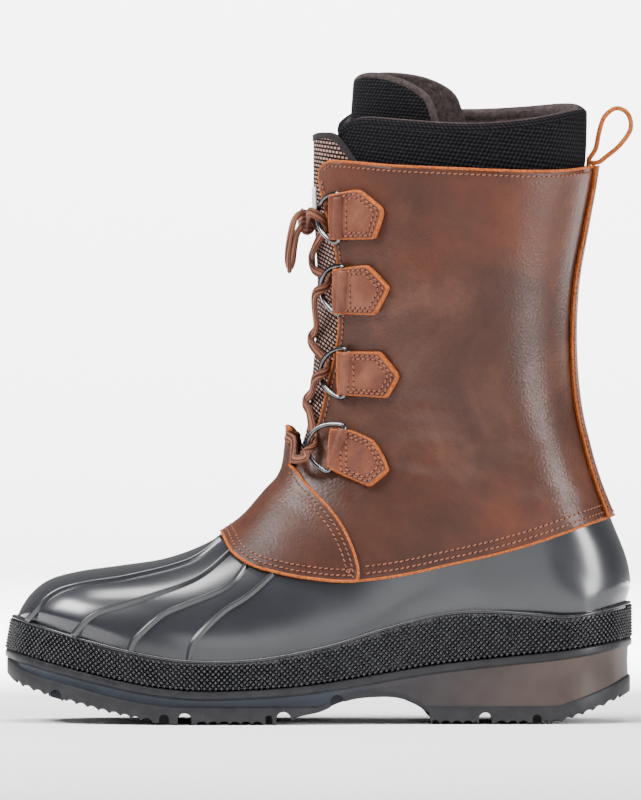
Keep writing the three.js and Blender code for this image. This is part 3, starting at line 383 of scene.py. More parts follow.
def over(line, margin=0.0):
    """A cutting test that keeps what lies over a side line by a margin."""
    return lambda x, y, z: z - margin - float(level(line, x))


def under(line, margin=0.0):
    """A cutting test that keeps what lies under a side line by a margin."""
    return lambda x, y, z: float(level(line, x)) - margin - z


def trim(mesh_data, keep):
    """Cuts a bmesh along the line where keep is zero, and drops the side where it is negative."""
    value = {v: keep(*v.co) for v in mesh_data.verts}
    crossing = [e for e in mesh_data.edges if value[e.verts[0]] * value[e.verts[1]] < 0]
    born = set()
    for edge in crossing:
        a, b = edge.verts
        _, vertex = bmesh.utils.edge_split(edge, a, value[a] / (value[a] - value[b]))
        born.add(vertex)
    for face in list(mesh_data.faces):
        fresh = [v for v in face.verts if v in born or abs(value.get(v, 1)) < 1e-9]
        if len(fresh) == 2 and not any(set(fresh) == set(e.verts) for e in face.edges):
            bmesh.utils.face_split(face, fresh[0], fresh[1])
    lost = [f for f in mesh_data.faces if keep(*f.calc_center_median()) < 0]
    bmesh.ops.delete(mesh_data, geom=lost, context="FACES")


def finish_mesh(name, mesh_data, materials, smooth=True):
    """A bmesh in millimetres, made an object in metres at the origin."""
    for vertex in mesh_data.verts:
        vertex.co *= MM
    mesh = bpy.data.meshes.new(name)
    mesh_data.to_mesh(mesh)
    mesh_data.free()
    for material in materials:
        mesh.materials.append(material)
    if smooth:
        mesh.shade_smooth()
    return new_object(name, mesh)


# %% Sheets of the last
CM = 10
DOUBLES = 0.1


def lengths_along(path):
    """How far along a path each of its points lies."""
    return np.concatenate([[0], np.linalg.norm(np.diff(path, axis=0), axis=1).cumsum()])


def last_sheet(offset, keeps, rows=(0, None), nose=False, shape=None):
    """The last's skin at an offset, trimmed by each test in turn, with a flat map in centimetres."""
    start, stop = rows[0], rows[1] or len(LAST)
    points = LAST[start:stop] + offset * OUT[start:stop]
    if shape:
        points = shape(points)
    count = len(points)
    around = np.linalg.norm(np.roll(points, -1, axis=1) - points, axis=2).cumsum(axis=1)
    around = np.column_stack([np.zeros(count), around])
    around -= around[:, AROUND // 2][:, None]
    height = lengths_along(points[:, AROUND // 2])
    sheet = bmesh.new()
    verts = [sheet.verts.new(p) for p in points.reshape(-1, 3)]
    layer = sheet.loops.layers.uv.new("flat")
    for r in range(count - 1):
        for c in range(AROUND):
            corners = [(r, c), (r, c + 1), (r + 1, c + 1), (r + 1, c)]
            face = sheet.faces.new([verts[i * AROUND + j % AROUND] for i, j in corners])
            for loop, (i, j) in zip(face.loops, corners):
                loop[layer].uv = (around[i, j] / CM, height[i] / CM)
    if nose:
        pole = sheet.verts.new(points[0].mean(axis=0))
        for c in range(AROUND):
            sheet.faces.new([pole, verts[(c + 1) % AROUND], verts[c]])
    bmesh.ops.recalc_face_normals(sheet, faces=sheet.faces)
    sheet.faces.ensure_lookup_table()
    middle = sheet.faces[len(sheet.faces) // 2]
    centre = middle.calc_center_median()
    if middle.normal.dot(centre - Vector(points.reshape(-1, 3).mean(axis=0))) < 0:
        bmesh.ops.reverse_faces(sheet, faces=sheet.faces)
    for keep in keeps:
        trim(sheet, keep)
    loose = [v for v in sheet.verts if not v.link_faces]
    bmesh.ops.delete(sheet, geom=loose, context="VERTS")
    bmesh.ops.remove_doubles(sheet, verts=sheet.verts, dist=DOUBLES)
    return sheet


def thicken(piece, thickness):
    """Solidify towards the inside; the cut rim takes the piece's second material."""
    wall = piece.modifiers.new("wall", "SOLIDIFY")
    wall.thickness = thickness * MM
    wall.offset = -1
    wall.use_even_offset = False
    wall.material_offset_rim = 1
    return piece


def dress(piece, slot, *nodes):
    """Hangs the piece on the root body and hides the solids it stands for. Its slot is not used."""
    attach(piece, "root")
    if nodes:
        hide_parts(*nodes)
    print(piece.name, len(piece.data.polygons), "faces")
    return piece


# %% Sweeps along a path


def sampled(columns, run, at):
    """The columns of a path at some distances along it."""
    return np.column_stack([np.interp(at, run, column) for column in columns.T])


def even_path(points, count, closed=False):
    """Points spaced evenly along a smooth curve through the given ones."""
    points = np.asarray(points, float)
    if closed:
        points = np.vstack([points[-1], points, points[0], points[1]])
    steps = 16
    dense = smooth_line(points, steps)
    if closed:
        dense = dense[steps:-steps]
    run = lengths_along(dense)
    wanted = np.linspace(0, run[-1], count, endpoint=not closed)
    return sampled(dense, run, wanted)


def sweep(name, path, outs, profile, materials, closed=False, scale=None, cloth=False):
    """A closed profile of (across, out) pairs along a path whose face looks along outs.

    Its flat map holds the share round the profile and the run, or, for cloth, both in centimetres.
    """
    path, outs, profile = (np.asarray(values, float) for values in (path, outs, profile))
    if closed:
        ahead = np.roll(path, -1, axis=0) - np.roll(path, 1, axis=0)
    else:
        ahead = np.gradient(path, axis=0)
    ahead = units(ahead)
    outs = units(outs - ahead * np.sum(outs * ahead, axis=1, keepdims=True))
    across = np.cross(ahead, outs)
    run = lengths_along(path)
    size = np.ones(len(path)) if scale is None else np.asarray(scale, float)
    body = bmesh.new()
    layer = body.loops.layers.uv.new("flat")
    loops = [[body.verts.new(p + s * (a * c + b * o)) for a, b in profile]
             for p, c, o, s in zip(path, across, outs, size)]
    sides = len(profile)
    girth = lengths_along(np.vstack([profile, profile[:1]])) / CM
    stations = len(path) if closed else len(path) - 1
    for r in range(stations):
        far = (r + 1) % len(path)
        for c in range(sides):
            d = (c + 1) % sides
            face = body.faces.new([loops[r][c], loops[r][d], loops[far][d], loops[far][c]])
            ends = [(r, c), (r, c + 1), (r + 1, c + 1), (r + 1, c)]
            for loop, (i, j) in zip(face.loops, ends):
                far_run = run[min(i, len(run) - 1)] / CM
                loop[layer].uv = (far_run, girth[j]) if cloth else (j / sides, far_run)
    if not closed:
        body.faces.new(loops[0][::-1])
        body.faces.new(loops[-1])
    bmesh.ops.recalc_face_normals(body, faces=body.faces)
    return finish_mesh(name, body, materials)


def join(name, pieces):
    """Several pieces of one make, as one object."""
    joined = bmesh.new()
    for piece in pieces:
        joined.from_mesh(piece.data)
    mesh = bpy.data.meshes.new(name)
    joined.to_mesh(mesh)
    joined.free()
    for material in pieces[0].data.materials:
        mesh.materials.append(material)
    mesh.shade_smooth()
    for piece in pieces:
        bpy.data.objects.remove(piece)
    return new_object(name, mesh)


def round_profile(width, height, count=12, power=2):
    """A rounded section: power 2 is an ellipse, and more is flatter with round edges."""
    turn = 2 * np.pi * np.arange(count) / count
    c, s = np.cos(turn), np.sin(turn)
    return np.column_stack([width / 2 * np.sign(c) * np.abs(c) ** (2 / power),
                            height / 2 * np.sign(s) * np.abs(s) ** (2 / power)])


# %% [markdown]
# ## Finishes
#
# Each finish is built from nodes, so it has the grain, weave or wear of the real thing at its real
# scale. Leather's fine crease pattern is a node group with named inputs, made once, that both leathers
# share, and one function makes the nap of fleece and felt. The last word on gloss stays in each material.
# Pictures could be wrapped round the boot instead, but nodes stay sharp from near by and need no file.

# %% Node helpers


def feed(tree, socket, value):
    """Links a socket to another node's output, or sets it to a plain value."""
    if isinstance(value, bpy.types.NodeSocket):
        tree.links.new(value, socket)
    else:
        socket.default_value = value


def add(tree, kind, inputs=None, **settings):
    """A node with its settings made and its inputs either linked or set."""
    node = tree.nodes.new(kind)
    for name, value in settings.items():
        setattr(node, name, value)
    for name, value in (inputs or {}).items():
        feed(tree, node.inputs[name], value)
    return node


def shader_group(name, inputs, outputs):
    """An empty node group with named number inputs and outputs."""
    group = bpy.data.node_groups.new(name, "ShaderNodeTree")
    for label, kind, value in inputs:
        socket = group.interface.new_socket(label, in_out="INPUT", socket_type=kind)
        if value is not None:
            socket.default_value = value
    for label, kind in outputs:
        group.interface.new_socket(label, in_out="OUTPUT", socket_type=kind)
    return group, add(group, "NodeGroupInput"), add(group, "NodeGroupOutput")


def ramp(tree, factor, stops):
    """A colour ramp with stops of (position, grey or colour)."""
    node = add(tree, "ShaderNodeValToRGB", {"Fac": factor})
    while len(node.color_ramp.elements) < len(stops):
        node.color_ramp.elements.new(0.5)
    for element, (position, value) in zip(node.color_ramp.elements, stops):
        element.position = position
        element.color = (*value, 1) if hasattr(value, "__len__") else (value, value, value, 1)
    return node.outputs["Color"]


def mix(tree, factor, first, second, blend="MIX"):
    """Two colours mixed. The Mix node keeps a set of sockets for each type: 6 and 7 are its colours."""
    node = add(tree, "ShaderNodeMix", data_type="RGBA", blend_type=blend)
    for index, value in ((0, factor), (6, first), (7, second)):
        feed(tree, node.inputs[index], (*value, 1) if isinstance(value, tuple) else value)
    return node.outputs[2]


def maths(tree, operation, a, b=0.0, clamp=False):
    """One sum on two numbers or sockets."""
    node = add(tree, "ShaderNodeMath", operation=operation, use_clamp=clamp)
    feed(tree, node.inputs[0], a)
    feed(tree, node.inputs[1], b)
    return node.outputs[0]


def new_material(name, **principled):
    """A material whose Principled BSDF has these plain values, with its tree and object coordinates."""
    material = bpy.data.materials.new(name)
    material.use_nodes = True
    tree = material.node_tree
    surface = tree.nodes["Principled BSDF"]
    for label, value in principled.items():
        surface.inputs[label.replace("_", " ")].default_value = value
    place = add(tree, "ShaderNodeTexCoord").outputs["Object"]
    return material, tree, surface, place


def paint(surface, color):
    """Gives a shader its colour."""
    surface.id_data.links.new(color, surface.inputs["Base Color"])


def noise(tree, place, scale, detail, roughness=0.5):
    """Soft noise from 0 to 1."""
    return add(tree, "ShaderNodeTexNoise", {"Vector": place, "Scale": scale, "Detail": detail,
                                            "Roughness": roughness}).outputs["Fac"]


def gloss(tree, surface, value, low, high, span=(0.0, 1.0)):
    """Roughness that runs from low to high while a value crosses its span."""
    rough = add(tree, "ShaderNodeMapRange", {"Value": value, "From Min": span[0], "From Max": span[1],
                                             "To Min": low, "To Max": high})
    tree.links.new(rough.outputs["Result"], surface.inputs["Roughness"])


def bump(tree, surface, height, strength, distance):
    """Small relief on the surface's normal; the distance is in metres."""
    node = add(tree, "ShaderNodeBump", {"Height": height, "Strength": strength, "Distance": distance})
    tree.links.new(node.outputs["Normal"], surface.inputs["Normal"])


print("node helpers ready")

# %% [markdown]
# Oiled leather is never one brown. Where it has been pulled over the last it turns paler and pinker,
# and where the oil gathers it is dark. Close to, it is covered with a net of very fine creases. One
# group makes both: a slow mottling, and creases from a cell pattern. Each leather sets its values.

# %% Leather grain group
grain, grain_in, grain_out = shader_group(
    "leather_grain",
    [("Place", "NodeSocketVector", None), ("Crease Scale", "NodeSocketFloat", 420.0),
     ("Mottle Scale", "NodeSocketFloat", 16.0)],
    [("Mottle", "NodeSocketFloat"), ("Height", "NodeSocketFloat"), ("Fleck", "NodeSocketFloat")],
)
place_in = grain_in.outputs["Place"]
mottle = add(grain, "ShaderNodeTexNoise", {"Vector": place_in, "Scale": grain_in.outputs["Mottle Scale"],
                                           "Detail": 5.0, "Roughness": 0.6, "Distortion": 0.6})
cells = add(grain, "ShaderNodeTexVoronoi", {"Vector": place_in, "Scale": grain_in.outputs["Crease Scale"]},
            feature="DISTANCE_TO_EDGE")
wander = noise(grain, place_in, 900.0, 4.0)
fine = noise(grain, place_in, 130.0, 6.0, 0.7)
creases = maths(grain, "MULTIPLY", cells.outputs["Distance"], 1.6, clamp=True)
height = maths(grain, "ADD", creases, maths(grain, "MULTIPLY", wander, 0.35))
height = maths(grain, "ADD", height, maths(grain, "MULTIPLY", fine, 0.5))
grain.links.new(mottle.outputs["Fac"], grain_out.inputs["Mottle"])
grain.links.new(height, grain_out.inputs["Height"])
grain.links.new(fine, grain_out.inputs["Fleck"])
print("group", grain.name, len(grain.nodes), "nodes")

# %% Leathers


def leather(name, dark, middle, pale, roughness, crease=420.0, mottle_scale=16.0, warm=None):
    """Oiled leather: dark, middle and pale browns, in a slow mottling, with creases."""
    material, tree, surface, place = new_material(name, Specular_IOR_Level=0.3)
    group = add(tree, "ShaderNodeGroup", node_tree=grain)
    tree.links.new(place, group.inputs["Place"])
    group.inputs["Crease Scale"].default_value = crease
    group.inputs["Mottle Scale"].default_value = mottle_scale
    color = ramp(tree, group.outputs["Mottle"], [(0.32, dark), (0.5, middle), (0.68, pale)])
    if warm:
        patch = noise(tree, place, 9.0, 3.0)
        color = mix(tree, ramp(tree, patch, [(0.5, 0.0), (0.66, 0.75)]), color, warm)
    fleck = ramp(tree, group.outputs["Fleck"], [(0.35, 0.86), (0.65, 1.08)])
    color = mix(tree, 1.0, color, fleck, "MULTIPLY")
    paint(surface, color)
    gloss(tree, surface, group.outputs["Mottle"], roughness + 0.08, roughness - 0.07, (0.3, 0.7))
    bump(tree, surface, group.outputs["Height"], 0.55, 0.00022)
    return material


def raw_edge(name, color, dark):
    """The cut edge of leather: rust orange fibre."""
    material, tree, surface, place = new_material(name, Roughness=0.95, Specular_IOR_Level=0.2)
    fuzz = noise(tree, place, 700.0, 6.0, 0.8)
    tone = ramp(tree, fuzz, [(0.36, dark), (0.6, color)])
    paint(surface, tone)
    bump(tree, surface, fuzz, 0.9, 0.0006)
    return material


BROWN = leather("brown_leather", (0.027, 0.0084, 0.0044), (0.047, 0.0148, 0.0082), (0.084, 0.0325, 0.0195),
                0.4, warm=(0.098, 0.023, 0.0075))
TAN = leather("tab_leather", (0.064, 0.0142, 0.0062), (0.114, 0.03, 0.0135), (0.168, 0.057, 0.03), 0.48,
              crease=520.0, mottle_scale=45.0)
EDGE = raw_edge("raw_edge", (0.46, 0.115, 0.025), (0.13, 0.028, 0.008))
print("leathers:", BROWN.name, TAN.name, EDGE.name)

# %% [markdown]
# Rubber is smooth and dark, so it is its reflections that tell its shape. The shell is glossy slate,
# the band near black, and the outsole a grey that turns brown towards the heel. A clear coat gives the
# shell its gloss and leaves its slate colour below as it is.

# %% Rubbers


def rubber(name, color, roughness, depth=0.00003, scale=160.0, coat=0.0):
    """Dark rubber under a faint film that changes its tone and gloss a little."""
    material, tree, surface, place = new_material(name, Coat_Weight=coat, Coat_Roughness=0.22,
                                                  Specular_IOR_Level=0.25)
    film = noise(tree, place, scale, 5.0)
    pale = tuple(min(1, 1.35 * c + 0.004) for c in color)
    tone = ramp(tree, film, [(0.35, color), (0.7, pale)])
    paint(surface, tone)
    gloss(tree, surface, film, roughness - 0.06, roughness + 0.08)
    bump(tree, surface, film, 0.25, depth)
    return material


SHELL = rubber("shell_rubber", (0.009, 0.0098, 0.013), 0.3, depth=0.0, scale=26.0, coat=1.0)
BAND = rubber("band_rubber", (0.011, 0.011, 0.0125), 0.24, depth=0.0, coat=0.4)
LEDGE = rubber("ledge_rubber", (0.0095, 0.0095, 0.011), 0.38, depth=0.0)
LUGS = rubber("lug_rubber", (0.0115, 0.0112, 0.0132), 0.5)


def outsole_rubber():
    """Grey gum rubber that browns towards the heel, with the faint bloom of a moulded wall."""
    material, tree, surface, place = new_material("outsole_rubber", Specular_IOR_Level=0.25)
    along = add(tree, "ShaderNodeSeparateXYZ", {"Vector": place})
    film = noise(tree, place, 60.0, 6.0)
    heelward = add(tree, "ShaderNodeMapRange", {"Value": along.outputs["X"], "From Max": 0.12})
    tone = mix(tree, heelward.outputs["Result"], (0.0125, 0.0162, 0.0245), (0.05, 0.034, 0.0285))
    bloom = ramp(tree, film, [(0.35, 0.8), (0.65, 1.15)])
    paint(surface, mix(tree, 1.0, tone, bloom, "MULTIPLY"))
    gloss(tree, surface, film, 0.34, 0.52)
    bump(tree, surface, film, 0.2, 0.0001)
    return material


GUM = outsole_rubber()
print("rubbers:", SHELL.name, BAND.name, LEDGE.name, LUGS.name, GUM.name)

# %% [markdown]
# Cloth follows its own threads, so these finishes read the flat map that each sheet carries, in
# centimetres. The liner is faced with black spacer mesh: open six-sided holes in a net. The tongue is
# a heavy weave: pale pink picks lie in staggered rows over black. Object coordinates would smear both
# patterns wherever the cloth turns away from an axis.

# %% Cloths


def flat_map(tree, scale):
    """The piece's flat map, scaled: one unit is one repeat."""
    flat = add(tree, "ShaderNodeUVMap", uv_map="flat").outputs["UV"]
    return add(tree, "ShaderNodeMapping", {"Vector": flat, "Scale": (*scale, 1.0)}).outputs["Vector"]


def net_mesh():
    """Black spacer mesh, from cells on a slanted lattice, with painted shade in its holes."""
    material, tree, surface, _ = new_material("net_mesh", Roughness=0.9, Specular_IOR_Level=0.1)
    flat = flat_map(tree, (4.6, 6.2))
    parts = add(tree, "ShaderNodeSeparateXYZ", {"Vector": flat})
    slid = maths(tree, "ADD", parts.outputs["X"], maths(tree, "MULTIPLY", parts.outputs["Y"], 0.5))
    lattice = add(tree, "ShaderNodeCombineXYZ", {"X": slid, "Y": parts.outputs["Y"]})
    cell = add(tree, "ShaderNodeTexVoronoi", {"Vector": lattice.outputs["Vector"], "Scale": 1.0,
                                              "Randomness": 0.12}, voronoi_dimensions="2D")
    # Each cell's middle is its open hole, painted near black as the shade inside it; the strands round it
    # keep the mesh's own dark grey.
    tone = ramp(tree, cell.outputs["Distance"], [(0.24, (0.0004, 0.0004, 0.0005)),
                                                 (0.42, (0.0032, 0.0032, 0.0042)),
                                                 (0.62, (0.017, 0.0162, 0.0195))])
    paint(surface, tone)
    bump(tree, surface, cell.outputs["Distance"], 0.9, 0.0007)
    return material


def tongue_weave():
    """Pale pink picks in staggered rows over black."""
    material, tree, surface, _ = new_material("tongue_weave", Roughness=0.9, Specular_IOR_Level=0.1)
    flat = flat_map(tree, (1.0, 1.0))
    bricks = add(tree, "ShaderNodeTexBrick", {
        "Vector": flat, "Color1": (0.46, 0.28, 0.24, 1), "Color2": (0.33, 0.19, 0.16, 1),
        "Mortar": (0.003, 0.0022, 0.0024, 1), "Scale": 1.0, "Mortar Size": 0.07, "Mortar Smooth": 0.7,
        "Brick Width": 0.27, "Row Height": 0.2}, offset=0.5, squash=1.0)
    thread = noise(tree, flat, 70.0, 4.0)
    worn = ramp(tree, thread, [(0.3, 0.6), (0.7, 1.2)])
    tone = mix(tree, 1.0, bricks.outputs["Color"], worn, "MULTIPLY")
    paint(surface, tone)
    bump(tree, surface, maths(tree, "SUBTRACT", 1.0, bricks.outputs["Fac"]), 1.0, 0.0007)
    return material


def nap(name, color, pale, scale=420.0, depth=0.0012):
    """Fleece or felt: a soft, uneven pile."""
    material, tree, surface, place = new_material(name, Roughness=1.0, Specular_IOR_Level=0.1,
                                                  Sheen_Weight=0.04, Sheen_Roughness=0.6)
    pile = noise(tree, place, scale, 8.0, 0.75)
    slow = noise(tree, place, 40.0, 3.0)
    tone = ramp(tree, pile, [(0.36, color), (0.64, pale)])
    shade = ramp(tree, slow, [(0.3, 0.8), (0.7, 1.12)])
    paint(surface, mix(tree, 1.0, tone, shade, "MULTIPLY"))
    bump(tree, surface, pile, 0.8, depth)
    return material


NET = net_mesh()
WEAVE = tongue_weave()
LABEL = nap("white_label", (0.5, 0.5, 0.5), (0.8, 0.8, 0.79), scale=300.0, depth=0.0002)
FLEECE = nap("taupe_fleece", (0.018, 0.0125, 0.0125), (0.062, 0.045, 0.044))
BINDING = nap("dark_binding", (0.007, 0.0052, 0.0056), (0.022, 0.017, 0.018), 900.0, 0.0004)
FELT = nap("felt", (0.07, 0.058, 0.05), (0.16, 0.135, 0.115), 300.0)
print("cloths:", NET.name, WEAVE.name, FLEECE.name, BINDING.name, FELT.name)

# %% [markdown]
# The rings are dark metal, rubbed a little unevenly. The lace is twilled: two sine waves on its own map
# draw the yarns that slant round it. Thread is so thin that a fine noise is enough.

# %% Metal, lace and thread


def gunmetal():
    """Dark plated wire."""
    material, tree, surface, place = new_material("gunmetal", Metallic=1.0)
    wear = noise(tree, place, 240.0, 5.0)
    tone = ramp(tree, wear, [(0.35, (0.085, 0.085, 0.09)), (0.7, (0.16, 0.16, 0.17))])
    paint(surface, tone)
    gloss(tree, surface, wear, 0.14, 0.3)
    bump(tree, surface, wear, 0.12, 0.00005)
    return material


YARNS, PICKS = 8, 70.0


def twill(name, dark, pale, twist):
    """Lace: fine yarns that slant round the cord, from its own flat map."""
    material, tree, surface, _ = new_material(name, Roughness=0.75, Specular_IOR_Level=0.25)
    flat = add(tree, "ShaderNodeUVMap", uv_map="flat").outputs["UV"]
    parts = add(tree, "ShaderNodeSeparateXYZ", {"Vector": flat})
    slant = maths(tree, "ADD", maths(tree, "MULTIPLY", parts.outputs["X"], YARNS * math.tau),
                  maths(tree, "MULTIPLY", parts.outputs["Y"], twist))
    rib = maths(tree, "ADD", maths(tree, "MULTIPLY", maths(tree, "SINE", slant), 0.5), 0.5)
    across = maths(tree, "ADD", maths(tree, "MULTIPLY", parts.outputs["Y"], PICKS),
                   maths(tree, "MULTIPLY", slant, 2.0))
    pick = maths(tree, "ADD", maths(tree, "MULTIPLY", maths(tree, "SINE", across), 0.14), 0.86)
    yarn = maths(tree, "MULTIPLY", rib, pick)
    paint(surface, ramp(tree, yarn, [(0.15, dark), (0.6, pale)]))
    bump(tree, surface, yarn, 0.8, 0.0004)
    return material


def plain_thread(name, color, dark):
    """Waxed thread, or, in dark colours, the painted shade of a needle hole."""
    material, tree, surface, place = new_material(name, Roughness=0.6, Specular_IOR_Level=0.15)
    ply = noise(tree, place, 1500.0, 3.0)
    tone = ramp(tree, ply, [(0.3, dark), (0.62, color)])
    paint(surface, tone)
    bump(tree, surface, ply, 0.4, 0.0001)
    return material


METAL = gunmetal()
LACE = twill("lace", (0.04, 0.012, 0.0065), (0.2, 0.072, 0.04), 2.0)
THREAD = plain_thread("thread", (0.32, 0.12, 0.07), (0.15, 0.05, 0.028))
# The needle hole's colour is painted shade: the dark inside a hole, laid on as a dot.
NEEDLE_HOLE_SHADE = plain_thread("needle_hole_shade", (0.016, 0.008, 0.006), (0.006, 0.004, 0.003))
print("metal, lace and thread:", METAL.name, LACE.name, THREAD.name, NEEDLE_HOLE_SHADE.name)

# %% [markdown]
# ## Rings, and the lace that runs through them
#
# Eight D-rings stand out from their tabs. The lace leaves two holes in the vamp's tab, turns up over
# the lowest rings and crosses on the tongue. From each crossing one strand passes over a ring's wire
# and leaves behind it, and the other comes up behind and passes over. At the top both strands end in
# the knot, and a bow loop hangs on each side. Each loop is a free cord. A cord could be a curve with a
# bevel, but a swept profile can be flat and ribbed, and it can turn its face as a real lace does.

# %% Ring frames
RING_HEIGHT, RING_REACH, RING_WIRE = 27.4, 17.0, 1.25
RING_HALF = RING_HEIGHT / 2 - RING_WIRE
ROLL_RADIUS = RING_WIRE + GAP + TAB_LEATHER
ROLL_HEIGHT = RING_HEIGHT - 4 * RING_WIRE - 4 * GAP
# Where each tab folds, and by how many degrees it droops and its ring lies back.
TABS = [(0.54, 1.822, 0, 10), (0.546, 1.582, 3, 10), (0.549, 1.307, 4, 10), (0.534, 1.052, 20, 0)]
TAB_NUMBERS = range(1, len(TABS) + 1)


def unit(vector):
    """The vector at length 1."""
    return vector / np.linalg.norm(vector)


class RingFrame(NamedTuple):
    """A ring's bar, and the ways along it, out to the bow and out of the ring's plane."""

    bar: np.ndarray
    up: np.ndarray
    ahead: np.ndarray
    face: np.ndarray


def ring_frame(share, rise, turn, tuck, side):
    """The frame of a ring whose tab folds at a place in the side view."""
    point, out_way = on_side(x_at(share), z_at(rise), side)
    droop, lean = math.radians(turn), math.radians(tuck)
    course = np.array([math.cos(droop), 0, -math.sin(droop)])
    along = unit(course - out_way * course.dot(out_way))
    up = unit(np.cross(along, out_way)) * side
    return RingFrame(point + (2 * GAP + ROLL_RADIUS) * out_way, up,
                     -math.cos(lean) * along - math.sin(lean) * out_way,
                     math.cos(lean) * out_way - math.sin(lean) * along)


def ring_point(ring, turn):
    """The middle of a ring's wire at a turn in degrees, from the top of its bar."""
    angle = math.radians(turn)
    return ring.bar + RING_HALF * math.cos(angle) * ring.up + RING_REACH * math.sin(angle) * ring.ahead


def both_sides(stem):
    """The names of the solids of one kind on the outer and the inner side."""
    return [f"{stem}_{side}_{number}" for side in ("lateral", "medial") for number in TAB_NUMBERS]


RINGS = [{side: ring_frame(*row, side) for side in (-1, 1)} for row in TABS]
wire = []
for pair in RINGS:
    for ring in pair.values():
        bow = [ring_point(ring, turn) for turn in np.linspace(4, 176, 44)]
        bar = [ring.bar + share * RING_HALF * ring.up for share in np.linspace(-0.93, 0.93, 12)]
        path = np.array(bow + bar)
        wire.append(sweep("wire", path, np.tile(ring.face, (len(path), 1)),
                          round_profile(2 * RING_WIRE, 2 * RING_WIRE, 14), [METAL], closed=True))
rings_piece = join("d_rings", wire)
dress(rings_piece, "ring", *both_sides("ring"))

# %% Sizes of the lace and its tab
LACE_WIDTH, LACE_THICK = 4.6, 2.0
VAMP_TAB_RISE, VAMP_TAB_WIDTH, VAMP_TAB_SLANT = 20, 26, 0.25
VAMP_FACE = GAP + VAMP_LEATHER
TAB_FOOT, TAB_TOP = INSTEP_HEIGHT - VAMP_TAB_RISE / 3, INSTEP_HEIGHT + VAMP_TAB_RISE
HOLE_SPREAD, HOLE_RADIUS, HOLE_DROP = 16, 3.2, 5
HOLE_LEVEL = TAB_TOP - HOLE_DROP
# Places over the front: a share of the ball width across, a height, and a lift off the last.
LACE_TURNS = [(0.088, 1.07, 7), (0.11, 1.03, 6.2), (0.14, 1.0, 9), (0.176, 1.004, 13)]
CROSSING_RISE, CROSSING_LIFT, CROSSING_SPAN, CROSSING_SLOPE = (1.21, 1.42, 1.68), 0.7, 9, 0.035
KNOT_LIFT, KNOT_RISE, KNOT_INSIDE = 0.9, 1.805, 4.0
LACE_LOOP = [
    (0.479, 1.835, 0.06), (0.471, 1.838, 0.085), (0.462, 1.815, 0.112), (0.456, 1.77, 0.135),
    (0.452, 1.715, 0.145), (0.4515, 1.673, 0.138), (0.454, 1.65, 0.115), (0.458, 1.672, 0.092),
    (0.461, 1.72, 0.084), (0.465, 1.765, 0.074), (0.472, 1.79, 0.06),
]
print("lace", LACE_WIDTH, "mm wide;", len(CROSSING_RISE), "crossings")

# %% [markdown]
# The stations of a lace are close together at a ring and far apart between two rings. An ordinary
# spline swings wide there and makes loops. The centripetal kind, whose steps grow with the root of the
# distance, stays taut as a pulled lace does.

# %% A taut curve


def between(a, b, start, end, t):
    """The point at t on the line from a at start to b at end."""
    return ((end - t) * a + (t - start) * b) / (end - start)


def taut_line(points, steps=10):
    """A smooth curve through uneven points that doesn't swing wide: Catmull and Rom's, centripetal."""
    points = np.asarray(points, float)
    padded = np.vstack([2 * points[0] - points[1], points, 2 * points[-1] - points[-2]])
    made = []
    for p0, p1, p2, p3 in zip(padded, padded[1:], padded[2:], padded[3:]):
        steps_3d = np.diff([p0[:3], p1[:3], p2[:3], p3[:3]], axis=0)
        t1, t2, t3 = np.cumsum(np.linalg.norm(steps_3d, axis=1) ** 0.5 + 1e-6)
        for t in np.linspace(t1, t2, steps, endpoint=False):
            a1, a2 = between(p0, p1, 0, t1, t), between(p1, p2, t1, t2, t)
            a3 = between(p2, p3, t2, t3, t)
            made.append(between(between(a1, a2, 0, t2, t), between(a2, a3, t1, t3, t), t1, t2, t))
    return np.array(made + [points[-1]])


# %% The lace's own route


def round_ring(ring, turns, sign, over_first):
    """Stations of a cord that passes over a ring's wire, into the ring and away behind it."""
    reach = RING_WIRE + LACE_THICK / 2 + 6 * GAP
    inside = ring_point(ring, sum(turns) / 2)
    inward = inside - ring.bar
    inward = unit(inward - ring.up * inward.dot(ring.up))
    order = 1 if over_first else -1
    return [(ring_point(ring, turns[0]) + order * reach * ring.face, sign * ring.face),
            (inside - reach * inward, -sign * order * inward),
            (ring_point(ring, turns[1]) - order * reach * ring.face, -sign * ring.face)]


def lace_stations(side):
    """The middles of one strand and the ways its face looks, from the vamp's tab up to the knot."""
    lean = np.array([-VAMP_TAB_SLANT * (HOLE_LEVEL - TAB_FOOT), 0, 0])
    hole, behind = side * HOLE_SPREAD / 2, -LACE_THICK / 2 - GAP
    inward = np.array([0.0, -side, 0.0])

    def at_tab(y, drop, lift):
        """A place on the leaning tab, and the way out of it."""
        spot = on_nose(y, HOLE_LEVEL - drop)
        return lifted(spot, lift) + lean, spot[1]

    stations = [at_tab(0, 0, behind), at_tab(0.6 * hole, 0, behind),
                (at_tab(0.97 * hole, 0, behind / 2)[0], inward),
                (at_tab(hole, 0, VAMP_FACE + GAP)[0], inward),
                at_tab(1.1 * hole, HOLE_DROP / 4, VAMP_FACE + LACE_THICK)]
    for across, rise, lift in LACE_TURNS:
        spot = on_nose(side * across * BALL_WIDTH, z_at(rise))
        stations.append((lifted(spot, lift), spot[1]))
    stations += round_ring(RINGS[3][side], (124, 80), 1, True)
    for index, rise in enumerate(CROSSING_RISE):
        flip = 1 if index % 2 else -1
        last = index == len(CROSSING_RISE) - 1
        for share, height, lift in ((-1, rise - CROSSING_SLOPE, CROSSING_LIFT),
                                    (0, rise, side * flip * CROSSING_LIFT),
                                    (1, rise + CROSSING_SLOPE, CROSSING_LIFT)):
            spot = on_nose(side * flip * share * CROSSING_SPAN, z_at(height))
            stations.append((lifted(spot, lift), flip * spot[1]))
        ring = RINGS[2 - index][side * flip]
        stations += round_ring(ring, (112, 80) if last else (108, 72), flip, not last)
    spot = on_nose(0, z_at(KNOT_RISE))
    end = lifted(spot, KNOT_LIFT)
    end[1] = -side * (KNOT_INSIDE + GAP)
    stations.append((end, spot[1]))
    return stations


CORD_RIBS, RIB_RIPPLE, CORD_POWER = 4, 0.13, 3.2


